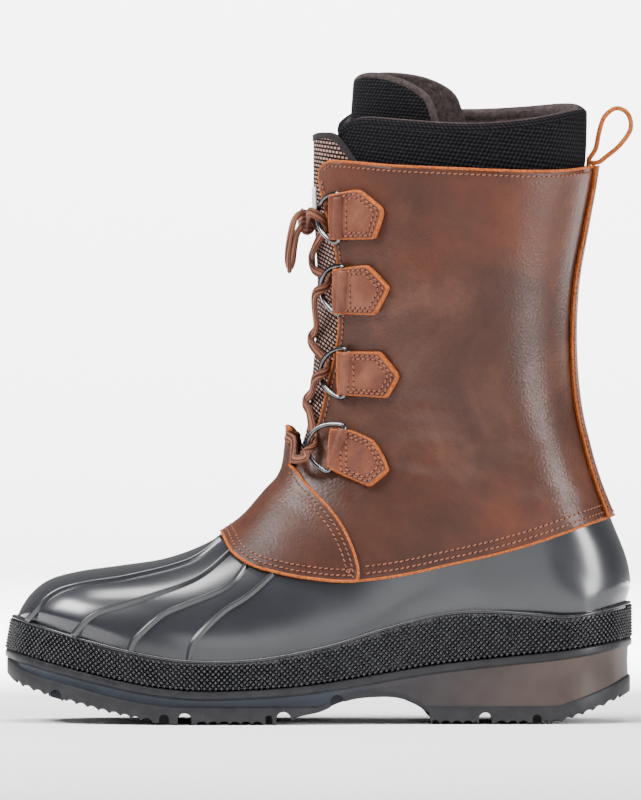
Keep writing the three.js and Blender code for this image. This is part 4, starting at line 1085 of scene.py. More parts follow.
def ribbed_profile(width, thick, count=36):
    """A flat cord with ribs along both faces."""
    base = round_profile(width, thick, count, CORD_POWER)
    ripple = 1 + RIB_RIPPLE * np.cos(base[:, 0] / width * CORD_RIBS * math.tau)
    return np.column_stack([base[:, 0], base[:, 1] * ripple])


def strand(side):
    """One ribbed strand over its stations, turned as they say."""
    both = taut_line([np.concatenate(station) for station in lace_stations(side)], 9)
    return sweep("strand", both[:, :3], both[:, 3:], ribbed_profile(LACE_WIDTH, LACE_THICK), [LACE])


strands = join("lace_strands", [strand(side) for side in (-1, 1)])
dress(strands, "lace", "lace_crossings")

# %% [markdown]
# The two bow loops hang free, and each is a ribbed cord swept along its own route. The knot
# between them is a solid core with three turns of the same ribbed lace wrapped round it. Modelling a
# real knot would add hidden strands that nobody sees.

# %% Bow loops: free cords
BOW_WIDTH, BOW_THICK = 4.2, 1.9
for name, side in (("lateral", -1), ("medial", 1)):
    rows = [(float(x_at(x)), side * y * BALL_WIDTH, float(z_at(rise))) for x, rise, y in LACE_LOOP]
    route = taut_line(rows, 10)
    outs = np.tile((-0.75, 0.65 * side, 0.1), (len(route), 1))
    loop = sweep(f"bow_loop_{name}", route, outs, ribbed_profile(BOW_WIDTH, BOW_THICK), [LACE])
    float(lengths_along(route)[-1]) * MM
    dress(loop, "lace", f"lace_loop_{name}")

# %% Knot
KNOT_CORE = (2.6, 5.8, 5.2)
WRAPS = [(0.0, (3.6, 5.4), (-0.3, 0, 0)), (1.15, (3.2, 6.2), (-0.2, -2.5, 0)),
         (-1.15, (3.2, 6.2), (-0.2, 2.5, 0))]
knot_middle = lifted(on_nose(0, z_at(KNOT_RISE)), KNOT_LIFT)
knot_middle[1] = 0
turns = np.linspace(0, math.tau, 40, endpoint=False)


def wrap(tilt, radii, shift):
    """One turn of lace round the knot: radii forward and up, tilted about the way forward."""
    flat = np.column_stack([radii[0] * np.cos(turns), np.zeros_like(turns), radii[1] * np.sin(turns)])
    c, s = math.cos(tilt), math.sin(tilt)
    spun = flat @ np.array([[1, 0, 0], [0, c, s], [0, -s, c]])
    return sweep("wrap", knot_middle + spun + np.array(shift), spun,
                 ribbed_profile(LACE_WIDTH, LACE_THICK, count=24), [LACE], closed=True)


core = bmesh.new()
bmesh.ops.create_uvsphere(core, u_segments=20, v_segments=12, radius=1)
for vertex in core.verts:
    vertex.co = Vector(knot_middle) + Vector([a * b for a, b in zip(vertex.co, KNOT_CORE)])
knot = join("lace_bow_knot", [finish_mesh("core", core, [LACE]), *[wrap(*turn) for turn in WRAPS]])
dress(knot, "lace", "lace_knot")

# %% [markdown]
# ## The outsole
#
# The outsole is one moulding: a ledge that the shell sits on, a smooth wall, and a darker lug band
# that stands proud of it. Its plan is a closed curve through a few widths. Each level of the moulding
# is that curve drawn in by an inset, and rungs between the two sides close it above and below. Levels
# are used, and not an extruded plan, because every edge of a sole rises and falls along its length.

# %% Plan of the sole
PLAN = [
    (0.016, 0.12, 0.207), (0.047, 0.233, 0.31), (0.094, 0.34, 0.401), (0.157, 0.422, 0.457),
    (0.226, 0.476, 0.49), (0.299, 0.5, 0.5), (0.371, 0.5, 0.483), (0.456, 0.483, 0.444),
    (0.55, 0.435, 0.397), (0.645, 0.397, 0.371), (0.739, 0.384, 0.371), (0.833, 0.388, 0.384),
    (0.912, 0.353, 0.353), (0.959, 0.267, 0.271), (0.984, 0.164, 0.168),
]
TOE_SHIFT = 0.043
TOE_POINT, HEEL_POINT = (float(x_at(0)), TOE_SHIFT * BALL_WIDTH), (float(x_at(1)), 0.0)
plan_points = [TOE_POINT, *[(float(x_at(x)), -outer * BALL_WIDTH) for x, outer, _ in PLAN], HEEL_POINT,
               *[(float(x_at(x)), inner * BALL_WIDTH) for x, _, inner in reversed(PLAN)]]


def plan_at(count):
    """The plan curve and the way out of it, at evenly spaced points."""
    line = even_path(plan_points, count, closed=True)
    ahead = np.roll(line, -1, axis=0) - np.roll(line, 1, axis=0)
    ahead /= np.linalg.norm(ahead, axis=1, keepdims=True)
    return line, np.column_stack([ahead[:, 1], -ahead[:, 0]])


def drawn_in(line, out, inset):
    """The plan curve moved in by an inset, or by one for each point."""
    return line - out * np.broadcast_to(inset, len(line))[:, None]


# %% Bodies built up in levels


def skin(body, low, high):
    """Quads between two closed rows of vertices."""
    count = len(low)
    return [body.faces.new([low[c], low[(c + 1) % count], high[(c + 1) % count], high[c]])
            for c in range(count)]


def slab(name, loops, materials, faces_of=None, rungs=14, relief=None):
    """A closed body over level loops of points, with rungs across its lowest and its highest."""
    count = len(loops[0])
    half = count // 2
    body = bmesh.new()
    layer = body.loops.layers.uv.new("flat")
    rows = [[body.verts.new(p) for p in loop] for loop in loops]
    for index, (low, high) in enumerate(zip(rows, rows[1:])):
        for face in skin(body, low, high):
            face.material_index = faces_of(index) if faces_of else 0
            for loop in face.loops:
                loop[layer].uv = (loop.vert.co.x / CM, loop.vert.co.z / CM)
    for row, flip in ((rows[0], False), (rows[-1], True)):
        ladder = []
        for i in range(1, half):
            a, b = row[i], row[count - i]
            inner = []
            for k in range(1, rungs):
                point = a.co.lerp(b.co, k / rungs)
                if relief and not flip:
                    point.z += relief(point.x)
                inner.append(body.verts.new(point))
            ladder.append([a, *inner, b])
        for lower, upper in zip(ladder, ladder[1:]):
            for k in range(rungs):
                body.faces.new([lower[k], lower[k + 1], upper[k + 1], upper[k]])
        for tip, rung in ((row[0], ladder[0]), (row[half], ladder[-1])):
            for k in range(rungs):
                body.faces.new([tip, rung[k], rung[k + 1]])
    bmesh.ops.recalc_face_normals(body, faces=body.faces)
    return finish_mesh(name, body, materials)


# %% Side lines of the tread
# Shares of the length, then of the toe spring, the heel lift and the height of the arch.
TREAD = smooth_line([
    (float(x_at(x)), toe * TOE_SPRING + heel * HEEL_LIFT, arch * SHELL_SEAT) for x, toe, heel, arch in [
        (-0.01, 1.45, 0, 0), (0.015, 1.04, 0, 0), (0.055, 0.77, 0, 0), (0.12, 0.48, 0, 0),
        (0.17, 0.27, 0, 0), (0.22, 0.11, 0, 0), (0.28, 0, 0, 0), (0.43, 0, 0, 0), (0.47, 0, 0, 0.24),
        (0.505, 0, 0, 0.38), (0.535, 0, 0, 0.62), (0.57, 0, 0, 0.77), (0.62, 0, 0, 0.79),
        (0.65, 0, 0, 0.62), (0.675, 0, 0, 0.33), (0.692, 0, 0, 0), (0.865, 0, 0, 0), (0.9, 0, 0.08, 0),
        (0.94, 0, 0.24, 0), (0.975, 0, 0.42, 0), (1.01, 0, 0.64, 0),
    ]
])
LUG_BAND, LUG_STEP, LUG_DEPTH = 9, 0.9, 6
TOOTH_PITCH, TOOTH_DEPTH = 5.6, 1.7
TOOTH_STRETCHES = [(-154, -137), (-130, -84), (-62, -28), (58, 80), (90, 106), (114, 154)]
SOLE_COUNT = 1000


def tread_level(x, arch=1.0):
    """The underside's height at x, with all, part or none of the arch."""
    plain = np.interp(x, TREAD[:, 0], TREAD[:, 1])
    return np.maximum(0, plain + arch * np.interp(x, TREAD[:, 0], TREAD[:, 2]))


def tooth_cut(x):
    """Fine teeth across the tread: how far it is raised in the round hollow between two teeth."""
    x = np.asarray(x, float)
    hollow = np.abs(np.sin(np.pi * x / TOOTH_PITCH)) ** 0.7 * TOOTH_DEPTH
    inside = sum(((x > a) & (x < b)).astype(float) for a, b in TOOTH_STRETCHES)
    return hollow * inside


print("arch stands", round(float(tread_level(x_at(0.6))), 1), "mm over the floor")

# %% Levels of the outsole
line, out = plan_at(SOLE_COUNT)
bed = level(FOOTBED, line[:, 0]) - GAP
tread = tread_level(line[:, 0])
band_line = tread_level(line[:, 0], 0.0) + LUG_BAND
band_share = np.clip((band_line - tread) / 4, 0, 1)
lug_top = np.maximum(band_line, tread + 1)
lug_inset = LEDGE_STEP - (LEDGE_STEP - LUG_STEP) * band_share
wall_top = bed - LEDGE_DEPTH
# An inset and a height for each level: the lug band, then the wall, then the ledge.
levels = [
    (lug_inset + 1.2, tread + tooth_cut(line[:, 0])),
    (lug_inset + 0.1, tread + tooth_cut(line[:, 0]) + 0.7),
    (lug_inset, tread + 2.6),
    (lug_inset, lug_top - 0.9),
    (lug_inset + 0.25 * band_share, lug_top - 0.2),
    (LEDGE_STEP, lug_top + 0.3),
    (LEDGE_STEP + 0.25, (lug_top + wall_top) / 2),
    (LEDGE_STEP, wall_top - 0.8),
    (LEDGE_STEP - 0.4, wall_top - 0.15),
    (0.8, wall_top + 0.25),
    (0.15, wall_top + 0.9),
    (0, bed - 1.8),
    (0.2, bed - 0.6),
    (0.9, bed),
    (9, bed),
]
LUG_LEVELS, WALL_LEVELS, LEDGE_FOOT, LEAST_RISE = 5, 8, 10, 0.05
heights = [height * np.ones(SOLE_COUNT) for _, height in levels]
for low, high in zip(heights[:LEDGE_FOOT], heights[1:LEDGE_FOOT]):
    np.maximum(high, low + LEAST_RISE, out=high)
loops = [np.column_stack([drawn_in(line, out, inset), height])
         for (inset, _), height in zip(levels, heights)]
outsole = slab("outsole_body", loops, [LUGS, GUM, LEDGE], relief=tooth_cut,
               faces_of=lambda index: 0 if index < LUG_LEVELS else 1 if index < WALL_LEVELS else 2)
print("outsole:", len(levels), "levels of", SOLE_COUNT, "points")

# %% [markdown]
# Grooves run right through under the foot, and shorter notches bite into the band from both sides.
# They are straight, so a Boolean that takes away round-topped bars is the simplest way. It needs a body
# that is free of folds: that is why no level may sink below the one under it.

# %% Grooves and notches


# A share of the length, a width, and whether the cut runs right through.
GROOVES = [(0.082, 5.5, False), (0.255, 5, False), (0.2875, 7, True), (0.4215, 3.5, False),
           (0.4445, 7.5, True), (0.53, 7, False), (0.765, 6.5, True), (0.847, 4.5, False)]
NOTCH_REACH, BELOW_FLOOR = 14, 9


def cutter(x, width, top, y_from, y_to):
    """A bar with a round top that cuts one groove or notch in the tread."""
    body = bmesh.new()
    turn = np.linspace(0, math.pi, 9)
    section = [(x - width / 2, -BELOW_FLOOR), (x + width / 2, -BELOW_FLOOR),
               *[(x + width / 2 * math.cos(t), top - width / 2 + width / 2 * math.sin(t)) for t in turn]]
    ends = [[body.verts.new((a, y, b)) for a, b in section] for y in (y_from, y_to)]
    skin(body, *ends)
    body.faces.new(ends[0][::-1])
    body.faces.new(ends[1])
    bmesh.ops.recalc_face_normals(body, faces=body.faces)
    return finish_mesh("cutter", body, [GUM])


cutters = []
for share, width, through in GROOVES:
    x = float(x_at(share))
    top = float(tread_level(x)) + LUG_DEPTH
    if through:
        cutters.append(cutter(x, width, top, -FAR, FAR))
        continue
    near = line[np.abs(line[:, 0] - x) < 2]
    for side in (-1, 1):
        edge = np.max(side * near[:, 1])
        cutters.append(cutter(x, width, top - 1, *sorted((side * (edge - NOTCH_REACH), side * FAR))))
grooves = join("grooves", cutters)
cut = outsole.modifiers.new("grooves", "BOOLEAN")
cut.operation = "DIFFERENCE"
cut.solver = "EXACT"
cut.object = grooves


def settle(piece, sharp=None):
    """Applies a piece's modifiers, so that it is a plain mesh."""
    evaluated = piece.evaluated_get(bpy.context.evaluated_depsgraph_get())
    mesh = bpy.data.meshes.new_from_object(evaluated, preserve_all_data_layers=True,
                                           depsgraph=bpy.context.evaluated_depsgraph_get())
    piece.modifiers.clear()
    piece.data = mesh
    mesh.shade_smooth()
    if sharp:
        mesh.set_sharp_from_angle(angle=math.radians(sharp))
    return piece


settle(outsole, 38)
bpy.data.objects.remove(grooves)
dress(outsole, "outsole", "outsole")

# %% [markdown]
# ## The rubber shell
#
# Everything below the leather's hem is one glossy moulding. It is the last's own skin, closed at the
# toe and under the foot. It lies a little inside the leather, so that the hem shows its cut edge, and
# its lip runs on out of sight behind it. Inside the band the skin is drawn in, or it would bulge
# through. A sculpted block could look the same, but it would not share the leather's exact curve.

# %% Shell
TUCK_FADE = 9
LEAN_REACH = 1.1
BAND_LEAN = smooth_line([(float(x_at(x)) * LEAN_REACH, lean) for x, lean in
                         [(0, 1), (0.05, 0.95), (0.16, 0.6), (0.3, 0.4), (0.6, 0.3), (0.9, 0.1), (1, 0)]])
TOE_LEAN = 1.7 * 3.6
BAND_SLOPE = TOE_LEAN / (1.6 * SHELL_SEAT + LEDGE_DEPTH)
SEWING_LIP = 6
SHELL_ROWS = (0, 158)


def band_slope(x):
    """How far the band leans in for each millimetre that it rises: most at the toe."""
    return BAND_SLOPE * np.interp(x, BAND_LEAN[:, 0], BAND_LEAN[:, 1])


def band_inset(x, lift):
    """How far in the band lies at a height over the ledge."""
    return BAND_INSET / 2 + band_slope(x) * lift


tuck_line, tuck_out = plan_at(360)


def inside_band(points, clear=1.5):
    """Draws a sheet in wherever it would bulge through the band, and lets that fade above it."""
    moved = points.copy()
    flat = moved.reshape(-1, 3)
    over = flat[:, 2] - level(BAND_TOP, flat[:, 0])
    near = np.flatnonzero(over < TUCK_FADE)
    gaps = flat[near, None, :2] - tuck_line[None]
    nearest = np.argmin((gaps ** 2).sum(axis=2), axis=1)
    depth = -np.einsum("ij,ij->i", gaps[np.arange(len(near)), nearest], tuck_out[nearest])
    lift = np.minimum(flat[near, 2], level(BAND_TOP, flat[near, 0])) - level(FOOTBED, flat[near, 0])
    short = np.clip(band_inset(flat[near, 0], lift) + clear - depth, 0, None)
    fade = np.clip(1 - over[near] / TUCK_FADE, 0, 1)
    fade = fade * fade * (3 - 2 * fade)
    flat[near, :2] -= tuck_out[nearest] * (short * fade)[:, None]
    return moved


shell_sheet = last_sheet(-SHELL_INSET, [under(HEM, -SEWING_LIP)], rows=SHELL_ROWS, nose=True,
                         shape=inside_band)
shell = thicken(finish_mesh("shell_skin", shell_sheet, [SHELL, SHELL]), SHELL_WALL)
dress(settle(shell), "shell", "shell")

# %% [markdown]
# Four ribs on each side run from the hem down over the toe. Each is a low, round-topped profile swept
# along a line of the side view that is laid on the last, so its foot is buried in the shell.

# %% Ribs of the toe
RIB_WIDTH, RIB_HEIGHT = 3.4, 2.3
RIBS = [
    [(0.346, 0.72), (0.293, 0.632), (0.199, 0.572), (0.089, 0.52), (0.036, 0.4)],
    [(0.362, 0.675), (0.303, 0.564), (0.199, 0.474), (0.143, 0.428), (0.109, 0.345)],
    [(0.387, 0.627), (0.355, 0.538), (0.286, 0.466), (0.251, 0.428), (0.208, 0.331), (0.2, 0.28)],
    [(0.428, 0.59), (0.389, 0.505), (0.346, 0.437), (0.303, 0.327), (0.294, 0.25)],
]


def laid(points_xz, side, lift, count):
    """A side line laid on the last: even points and the ways out."""
    spots = [on_side(x, z, side) for x, z in even_path(points_xz, count)]
    return np.array([lifted(s, lift) for s in spots]), np.array([s[1] for s in spots])


def eased(values, rounds=3):
    """Evens out small jumps along a path, keeping its two ends."""
    values = np.asarray(values, float).copy()
    for _ in range(rounds):
        values[1:-1] = (values[:-2] + 2 * values[1:-1] + values[2:]) / 4
    return values


rib_profile = [(share * RIB_WIDTH, height) for share, height in [
    (-0.5, -0.5), (-0.5, 0.1), (-0.36, 0.12), (-0.24, 0.62 * RIB_HEIGHT), (0, 0.82 * RIB_HEIGHT),
    (0.24, 0.62 * RIB_HEIGHT), (0.36, 0.12), (0.5, 0.1), (0.5, -0.5),
]]
ribs = []
for rows in RIBS:
    rows = [(float(x_at(x)), float(z_at(rise))) for x, rise in rows]
    for side in (-1, 1):
        path, outs = laid(rows, side, -SHELL_INSET, 60)
        ribs.append(sweep("rib", eased(path), eased(outs, 6), rib_profile, [SHELL]))
toe_ribs = join("toe_ribs", ribs)
dress(toe_ribs, "shell")

# %% [markdown]
# ## The studded band
#
# Round the whole shell runs a matt band with a bead along its top. It is covered with small pyramids
# in staggered rows. One pyramid of a few faces is repeated by Geometry Nodes on a chart of points that
# follows the band, each turned by the way out that its point carries. A bump pattern would be cheaper,
# but the studs show in the outline, and a printed boot would lose them.

# %% Band
BEAD = 0.9
BAND_COUNT = 480
band_line_xy, band_out = plan_at(BAND_COUNT)


def band_loop(lift, extra):
    """The band's closed line at a height over the ledge, drawn in by a little more."""
    x = band_line_xy[:, 0]
    inset = band_inset(x, lift) + extra
    return np.column_stack([drawn_in(band_line_xy, band_out, inset), level(FOOTBED, x) + lift])


band_height = level(BAND_TOP, band_line_xy[:, 0]) - level(FOOTBED, band_line_xy[:, 0])
band_rows = [(0, 7), (0.05, 0), *[(share, 0) for share in np.linspace(0.12, 1, 9)]]
band_loops = [band_loop(share * (band_height - 2 * BEAD), extra) for share, extra in band_rows]
band_loops += [band_loop(band_height - BEAD + BEAD * math.sin(t), 0.4 - BEAD * math.cos(t))
               for t in np.linspace(-math.pi / 2, math.pi / 2, 7)]
band_loops.append(band_loop(band_height - 0.4, 6))
band = bmesh.new()
band_verts = [[band.verts.new(p) for p in loop] for loop in band_loops]
for low, high in zip(band_verts, band_verts[1:] + band_verts[:1]):
    skin(band, low, high)
bmesh.ops.recalc_face_normals(band, faces=band.faces)
shell_band = finish_mesh("shell_band", band, [BAND])
shell_band.data.set_sharp_from_angle(angle=math.radians(50))
dress(shell_band, "shell")

# %% Geometry Nodes: one shape repeated on charted points


def repeat_tree(name, build_shape, inputs):
    """A tree that sets one shape on every point, its z along 'out' and its x along 'ahead'."""
    tree = bpy.data.node_groups.new(name, "GeometryNodeTree")

    def socket(label, kind, way="INPUT"):
        return tree.interface.new_socket(label, in_out=way, socket_type="NodeSocket" + kind)

    socket("Geometry", "Geometry")
    for label, value in inputs:
        socket(label, "Float").default_value = value
    socket("Finish", "Material")
    socket("Geometry", "Geometry", "OUTPUT")
    way_in, way_out = add(tree, "NodeGroupInput"), add(tree, "NodeGroupOutput")
    out_way, ahead_way = (
        add(tree, "GeometryNodeInputNamedAttribute", {"Name": label}, data_type="FLOAT_VECTOR").outputs[0]
        for label in ("out", "ahead"))
    up = add(tree, "FunctionNodeAlignRotationToVector", {"Vector": out_way}, axis="Z")
    turned = add(tree, "FunctionNodeAlignRotationToVector",
                 {"Rotation": up.outputs[0], "Vector": ahead_way}, axis="X", pivot_axis="Z")
    points = add(tree, "GeometryNodeMeshToPoints", {"Mesh": way_in.outputs["Geometry"]})
    shape = build_shape(tree, way_in)
    copies = add(tree, "GeometryNodeInstanceOnPoints", {"Points": points.outputs[0], "Instance": shape,
                                                        "Rotation": turned.outputs[0]})
    real = add(tree, "GeometryNodeRealizeInstances", {"Geometry": copies.outputs[0]})
    painted = add(tree, "GeometryNodeSetMaterial", {"Geometry": real.outputs[0],
                                                    "Material": way_in.outputs["Finish"]})
    tree.links.new(painted.outputs[0], way_out.inputs["Geometry"])
    return tree


def chart(name, places, outs, aheads):
    """A mesh of bare points in metres that carry their ways out and ahead."""
    mesh = bpy.data.meshes.new(name)
    mesh.from_pydata((np.asarray(places) * MM).tolist(), [], [])
    for label, values in (("out", outs), ("ahead", aheads)):
        attribute = mesh.attributes.new(label, "FLOAT_VECTOR", "POINT")
        attribute.data.foreach_set("vector", np.asarray(values, np.float32).ravel())
    return new_object(name, mesh)


def repeat(name, places, outs, aheads, tree, finish, sizes):
    """Runs a repeat tree over charted points and keeps the result as a plain mesh."""
    piece = chart(name, places, outs, aheads)
    nodes = piece.modifiers.new("repeat", "NODES")
    nodes.node_group = tree
    sockets = {item.name: item.identifier for item in tree.interface.items_tree if item.in_out == "INPUT"}
    for label, value in sizes.items():
        nodes[sockets[label]] = value
    nodes[sockets["Finish"]] = finish
    graph = bpy.context.evaluated_depsgraph_get()
    mesh = bpy.data.meshes.new_from_object(piece.evaluated_get(graph))
    piece.modifiers.clear()
    piece.data = mesh
    mesh.shade_smooth()
    return piece


def pyramid(tree, way_in):
    """A four-sided pyramid that stands on its base."""
    cone = add(tree, "GeometryNodeMeshCone", {"Vertices": 4, "Radius Top": 0.0,
                                              "Radius Bottom": way_in.outputs["Half Width"],
                                              "Depth": way_in.outputs["Height"]})
    return cone.outputs["Mesh"]


def bead_drop(tree, way_in):
    """A small ball stretched along x and flattened: a stitch, or a dark dot of painted shade for a needle
    hole.
    """
    ball = add(tree, "GeometryNodeMeshUVSphere", {"Segments": 7, "Rings": 4, "Radius": 0.5})
    size = add(tree, "ShaderNodeCombineXYZ", {"X": way_in.outputs["Length"], "Y": way_in.outputs["Width"],
                                              "Z": way_in.outputs["Height"]})
    slant = add(tree, "ShaderNodeCombineXYZ", {"Z": way_in.outputs["Slant"]})
    shaped = add(tree, "GeometryNodeTransform", {"Geometry": ball.outputs["Mesh"], "Scale": size.outputs[0],
                                                 "Rotation": slant.outputs[0]})
    return shaped.outputs[0]


STUDS = repeat_tree("studs", pyramid, [("Half Width", 1.5 * MM), ("Height", 0.9 * MM)])
STITCHES = repeat_tree("stitches", bead_drop, [("Length", 2.4 * MM), ("Width", 0.7 * MM),
                                               ("Height", 0.7 * MM), ("Slant", 0.0)])
print("repeat trees:", STUDS.name, STITCHES.name)

# %% Studs of the band
STUD_PITCH, STUD_ROW, STUD_HEIGHT = 2.9, 1.45, 1.25
STUD_ROWS, FIRST_LIFT, BEAD_MARGIN = 22, 1.0, 0.6
fine_line, fine_out = plan_at(4 * BAND_COUNT)
run = lengths_along(fine_line)
stud_rows = []
for row in range(STUD_ROWS):
    lift = FIRST_LIFT + STUD_ROW * row
    starts = np.arange(0, run[-1], STUD_PITCH) + (row % 2) * STUD_PITCH / 2
    x, y, out_x, out_y = sampled(np.hstack([fine_line, fine_out]), run, starts).T
    inset = band_inset(x, lift)
    room = level(BAND_TOP, x) - level(FOOTBED, x) - 2 * BEAD - BEAD_MARGIN
    places = [x - out_x * inset, y - out_y * inset, level(FOOTBED, x) + lift]
    aheads = [-out_y, out_x, np.zeros_like(x)]
    stud_rows.append(np.column_stack([*places, out_x, out_y, band_slope(x), *aheads])[lift < room])
places, outs, aheads = np.split(np.concatenate(stud_rows), 3, axis=1)
band_studs = repeat("band_studs", places, outs, aheads, STUDS, BAND,
                    {"Half Width": STUD_PITCH / 2 * MM, "Height": STUD_HEIGHT * MM})
dress(band_studs, "shell")

# %% [markdown]
# ## Leather
#
# The quarters are one sheet that wraps the ankle, with the throat cut out in front. The vamp laps over
# them with its rounded seam and carries the lace tab. A strip covers the seam down the back. Every cut
# rim keeps its raw orange edge. The rims also say where the stitching goes: a row of stitches is the
# rim itself, moved in over the leather. Rows drawn by hand would drift off as soon as a cutting line
# moved.

# %% Rims of a sheet
SHORTEST_RIM, RIM_SPACING = 12, 2


def rim_loops(sheet):
    """The chains of vertices round a sheet's open edges."""
    links = {}
    for edge in sheet.edges:
        if edge.is_boundary:
            for vertex in edge.verts:
                links.setdefault(vertex, []).append(edge.other_vert(vertex))
    left, loops = dict.fromkeys(links), []
    while left:
        here, _ = left.popitem()
        loop = [here]
        while True:
            ahead = next((v for v in links[here] if v in left), None)
            if ahead is None:
                break
            left.pop(ahead)
            loop.append(ahead)
            here = ahead
        loops.append(loop)
    return [loop for loop in loops if len(loop) >= SHORTEST_RIM]


def borders(sheet):
    """The closed rims of a sheet, longest first: points, ways out and ways in over the sheet."""
    sheet.normal_update()
    found = []
    for loop in rim_loops(sheet):
        points = np.array([v.co for v in loop])
        outs = np.array([v.normal for v in loop])
        middles = np.array([np.mean([f.calc_center_median() for f in v.link_faces], axis=0) for v in loop])
        count = max(24, round(lengths_along(points)[-1] / RIM_SPACING))
        both = even_path(np.column_stack([points, outs, middles - points]), count, closed=True)
        path, ways = both[:, :3], both[:, 3:]
        for _ in range(3):
            ways = (np.roll(ways, 1, axis=0) + 2 * ways + np.roll(ways, -1, axis=0)) / 4
        along = units(np.roll(path, -1, axis=0) - np.roll(path, 1, axis=0))
        out_ways = units(ways[:, :3])
        ins = np.cross(out_ways, along)
        ins *= np.sign(np.sum(ins * ways[:, 3:], axis=1, keepdims=True).mean())
        found.append((path, out_ways, ins))
    return sorted(found, key=lambda rim: -len(rim[0]))


def seam_x(z):
    """How far back the vamp's seam lies at a height."""
    order = np.argsort(VAMP_SEAM[:, 1])
    return np.interp(z, VAMP_SEAM[order, 1], VAMP_SEAM[order, 0])


# %% Stitch rows and raw edges
seam_rows = []
raw_edges = []
THREAD_LIFT, EDGE_INSET, EDGE_SINK, SHORTEST_STRETCH = 0.15, 0.15, 0.3, 6


def stretches(rim, inset, test, lift):
    """The parts of a rim, moved in over the leather, where test is true: points and ways out."""
    points, outs, ins = rim
    moved = points + inset * ins + lift * outs
    kept = np.array([bool(test(*p)) for p in moved])
    start = int(np.argmin(kept)) if not kept.all() else 0
    order = (np.arange(len(kept)) + start) % len(kept)
    stretch, found = [], []
    for k in list(order) + [None]:
        if k is not None and kept[k]:
            stretch.append(np.concatenate([moved[k], outs[k]]))
            continue
        if len(stretch) > SHORTEST_STRETCH:
            found.append(np.array(stretch))
        stretch = []
    return found


def stitch_row(rim, inset, test):
    """Rows of stitches along a rim, wherever test is true."""
    seam_rows.extend(stretches(rim, inset, test, THREAD_LIFT))


def raw_rim(rim, width):
    """The raw cut edge as it shows from outside: a thin cord of edge colour along a rim."""
    for row in stretches(rim, EDGE_INSET, lambda x, y, z: True, -EDGE_SINK * width):
        raw_edges.append(sweep("raw_rim", row[:, :3], row[:, 3:], round_profile(width, width, 8), [EDGE]))


# %% Quarters
THROAT_HALF = 24
THROAT = smooth_line([(float(z_at(rise)), half * THROAT_HALF) for rise, half in [
    (0.9, -0.9), (0.97, -0.2), (1.02, 0.42), (1.1, 0.57), (1.275, 0.69), (1.47, 0.9), (1.69, 1.0),
    (1.84, 0.84), (1.93, 0.66), (1.97, 0.64), (1.992, 0.74), (2.02, 1.1),
]])
THROAT_BACK = float(x_at(0.62))
# What a cutting test answers where it keeps everything. Below zero it keeps nothing.
KEPT = 9.0
UPPER_RIM = 250
COLLAR_INSET, THROAT_INSET, HEM_INSETS = 2.7, 3.2, (3.4, 7.0)
THROAT_SEAM_FOOT, THROAT_SEAM_HEAD, HEM_SEAM_BACK = 150, 276, 148


def beside_throat(x, y, z):
    """Above zero outside the throat, which is open in front only."""
    if x > THROAT_BACK:
        return KEPT
    return abs(y) - float(np.interp(z, THROAT[:, 0], THROAT[:, 1]))


quarter_sheet = last_sheet(0, [over(HEM, GAP), under(COLLAR), beside_throat], rows=(36, None))
for rim in borders(quarter_sheet):
    raw_rim(rim, 1.5)
    if rim[0][:, 2].max() > UPPER_RIM:
        stitch_row(rim, COLLAR_INSET, lambda x, y, z: z > float(level(COLLAR, x)) - 5 and abs(y) > 14)
        stitch_row(rim, THROAT_INSET, lambda x, y, z: THROAT_SEAM_FOOT < z < THROAT_SEAM_HEAD)
    else:
        for inset in HEM_INSETS:
            stitch_row(rim, inset, lambda x, y, z: seam_x(z) + 1.5 < x < HEM_SEAM_BACK)
quarters = thicken(finish_mesh("quarters", quarter_sheet, [BROWN, EDGE]), LEATHER)
dress(settle(quarters), "upper", "upper")

# %% [markdown]
# The vamp is a second sheet, one leather's thickness further out. Its lace tab is part of the same
# cut: a rounded bulge is added to the test, and the sheet is pushed forward there, because the laced
# tab stands away from the shaft.

# %% Vamp and its lace tab
TAB_HALF = VAMP_TAB_WIDTH / 2
TAB_MIDDLE, TAB_UP = TAB_FOOT + 4, TAB_TOP - TAB_FOOT - 4
FRONT_PART = 20
TAB_FADE, FADE_FROM, FADE_RUN = 9, 25, 12
SEAM_TOP = float(VAMP_SEAM[:, 1].max())


def on_vamp(x, y, z):
    """Above zero in front of the vamp's seam and on its tab."""
    front = min(float(seam_x(z)) - x, SEAM_TOP - z)
    if x > FRONT_PART:
        return front
    bulge = (abs(y) / TAB_HALF) ** 4 + (max(0.0, z - TAB_MIDDLE) / TAB_UP) ** 4
    return max(front, 6 * (1 - bulge))


def pushed_forward(points):
    """The tab stands away from the shaft."""
    height = np.clip(points[..., 2] - TAB_FOOT, 0, None)
    across = np.clip((TAB_HALF + TAB_FADE - np.abs(points[..., 1])) / TAB_FADE, 0, 1)
    front = np.clip((FADE_FROM - points[..., 0]) / FADE_RUN, 0, 1)
    moved = points.copy()
    moved[..., 0] -= VAMP_TAB_SLANT * height * across**2 * (3 - 2 * across) * front
    return moved


def beside_holes(x, y, z):
    """Above zero outside the tab's two lace holes."""
    if x > FRONT_PART:
        return KEPT
    return min(math.hypot(abs(y) - HOLE_SPREAD / 2, z - HOLE_LEVEL) - HOLE_RADIUS, KEPT)


vamp_sheet = last_sheet(VAMP_FACE, [over(HEM, GAP), on_vamp, beside_holes], rows=(30, 110),
                        shape=pushed_forward)
vamp_rims = borders(vamp_sheet)
raw_rim(vamp_rims[0], 1.7)
for inset in (3.0, 6.0):
    stitch_row(vamp_rims[0], inset, lambda x, y, z: z < TAB_FOOT + 5)
vamp = thicken(finish_mesh("vamp_leather", vamp_sheet, [BROWN, EDGE]), VAMP_LEATHER)
dress(settle(vamp), "upper", "vamp")

# %% Strip down the back
BACK_TOP, BACK_FOOT = 13.0, 19.0


def on_back(x, y, z):
    """Above zero on a strip at the back that widens downwards."""
    if x < x_at(0.75):
        return -KEPT
    low, high = float(z_at(0.7)), float(z_at(2))
    return BACK_FOOT + (BACK_TOP - BACK_FOOT) * (z - low) / (high - low) - abs(y)


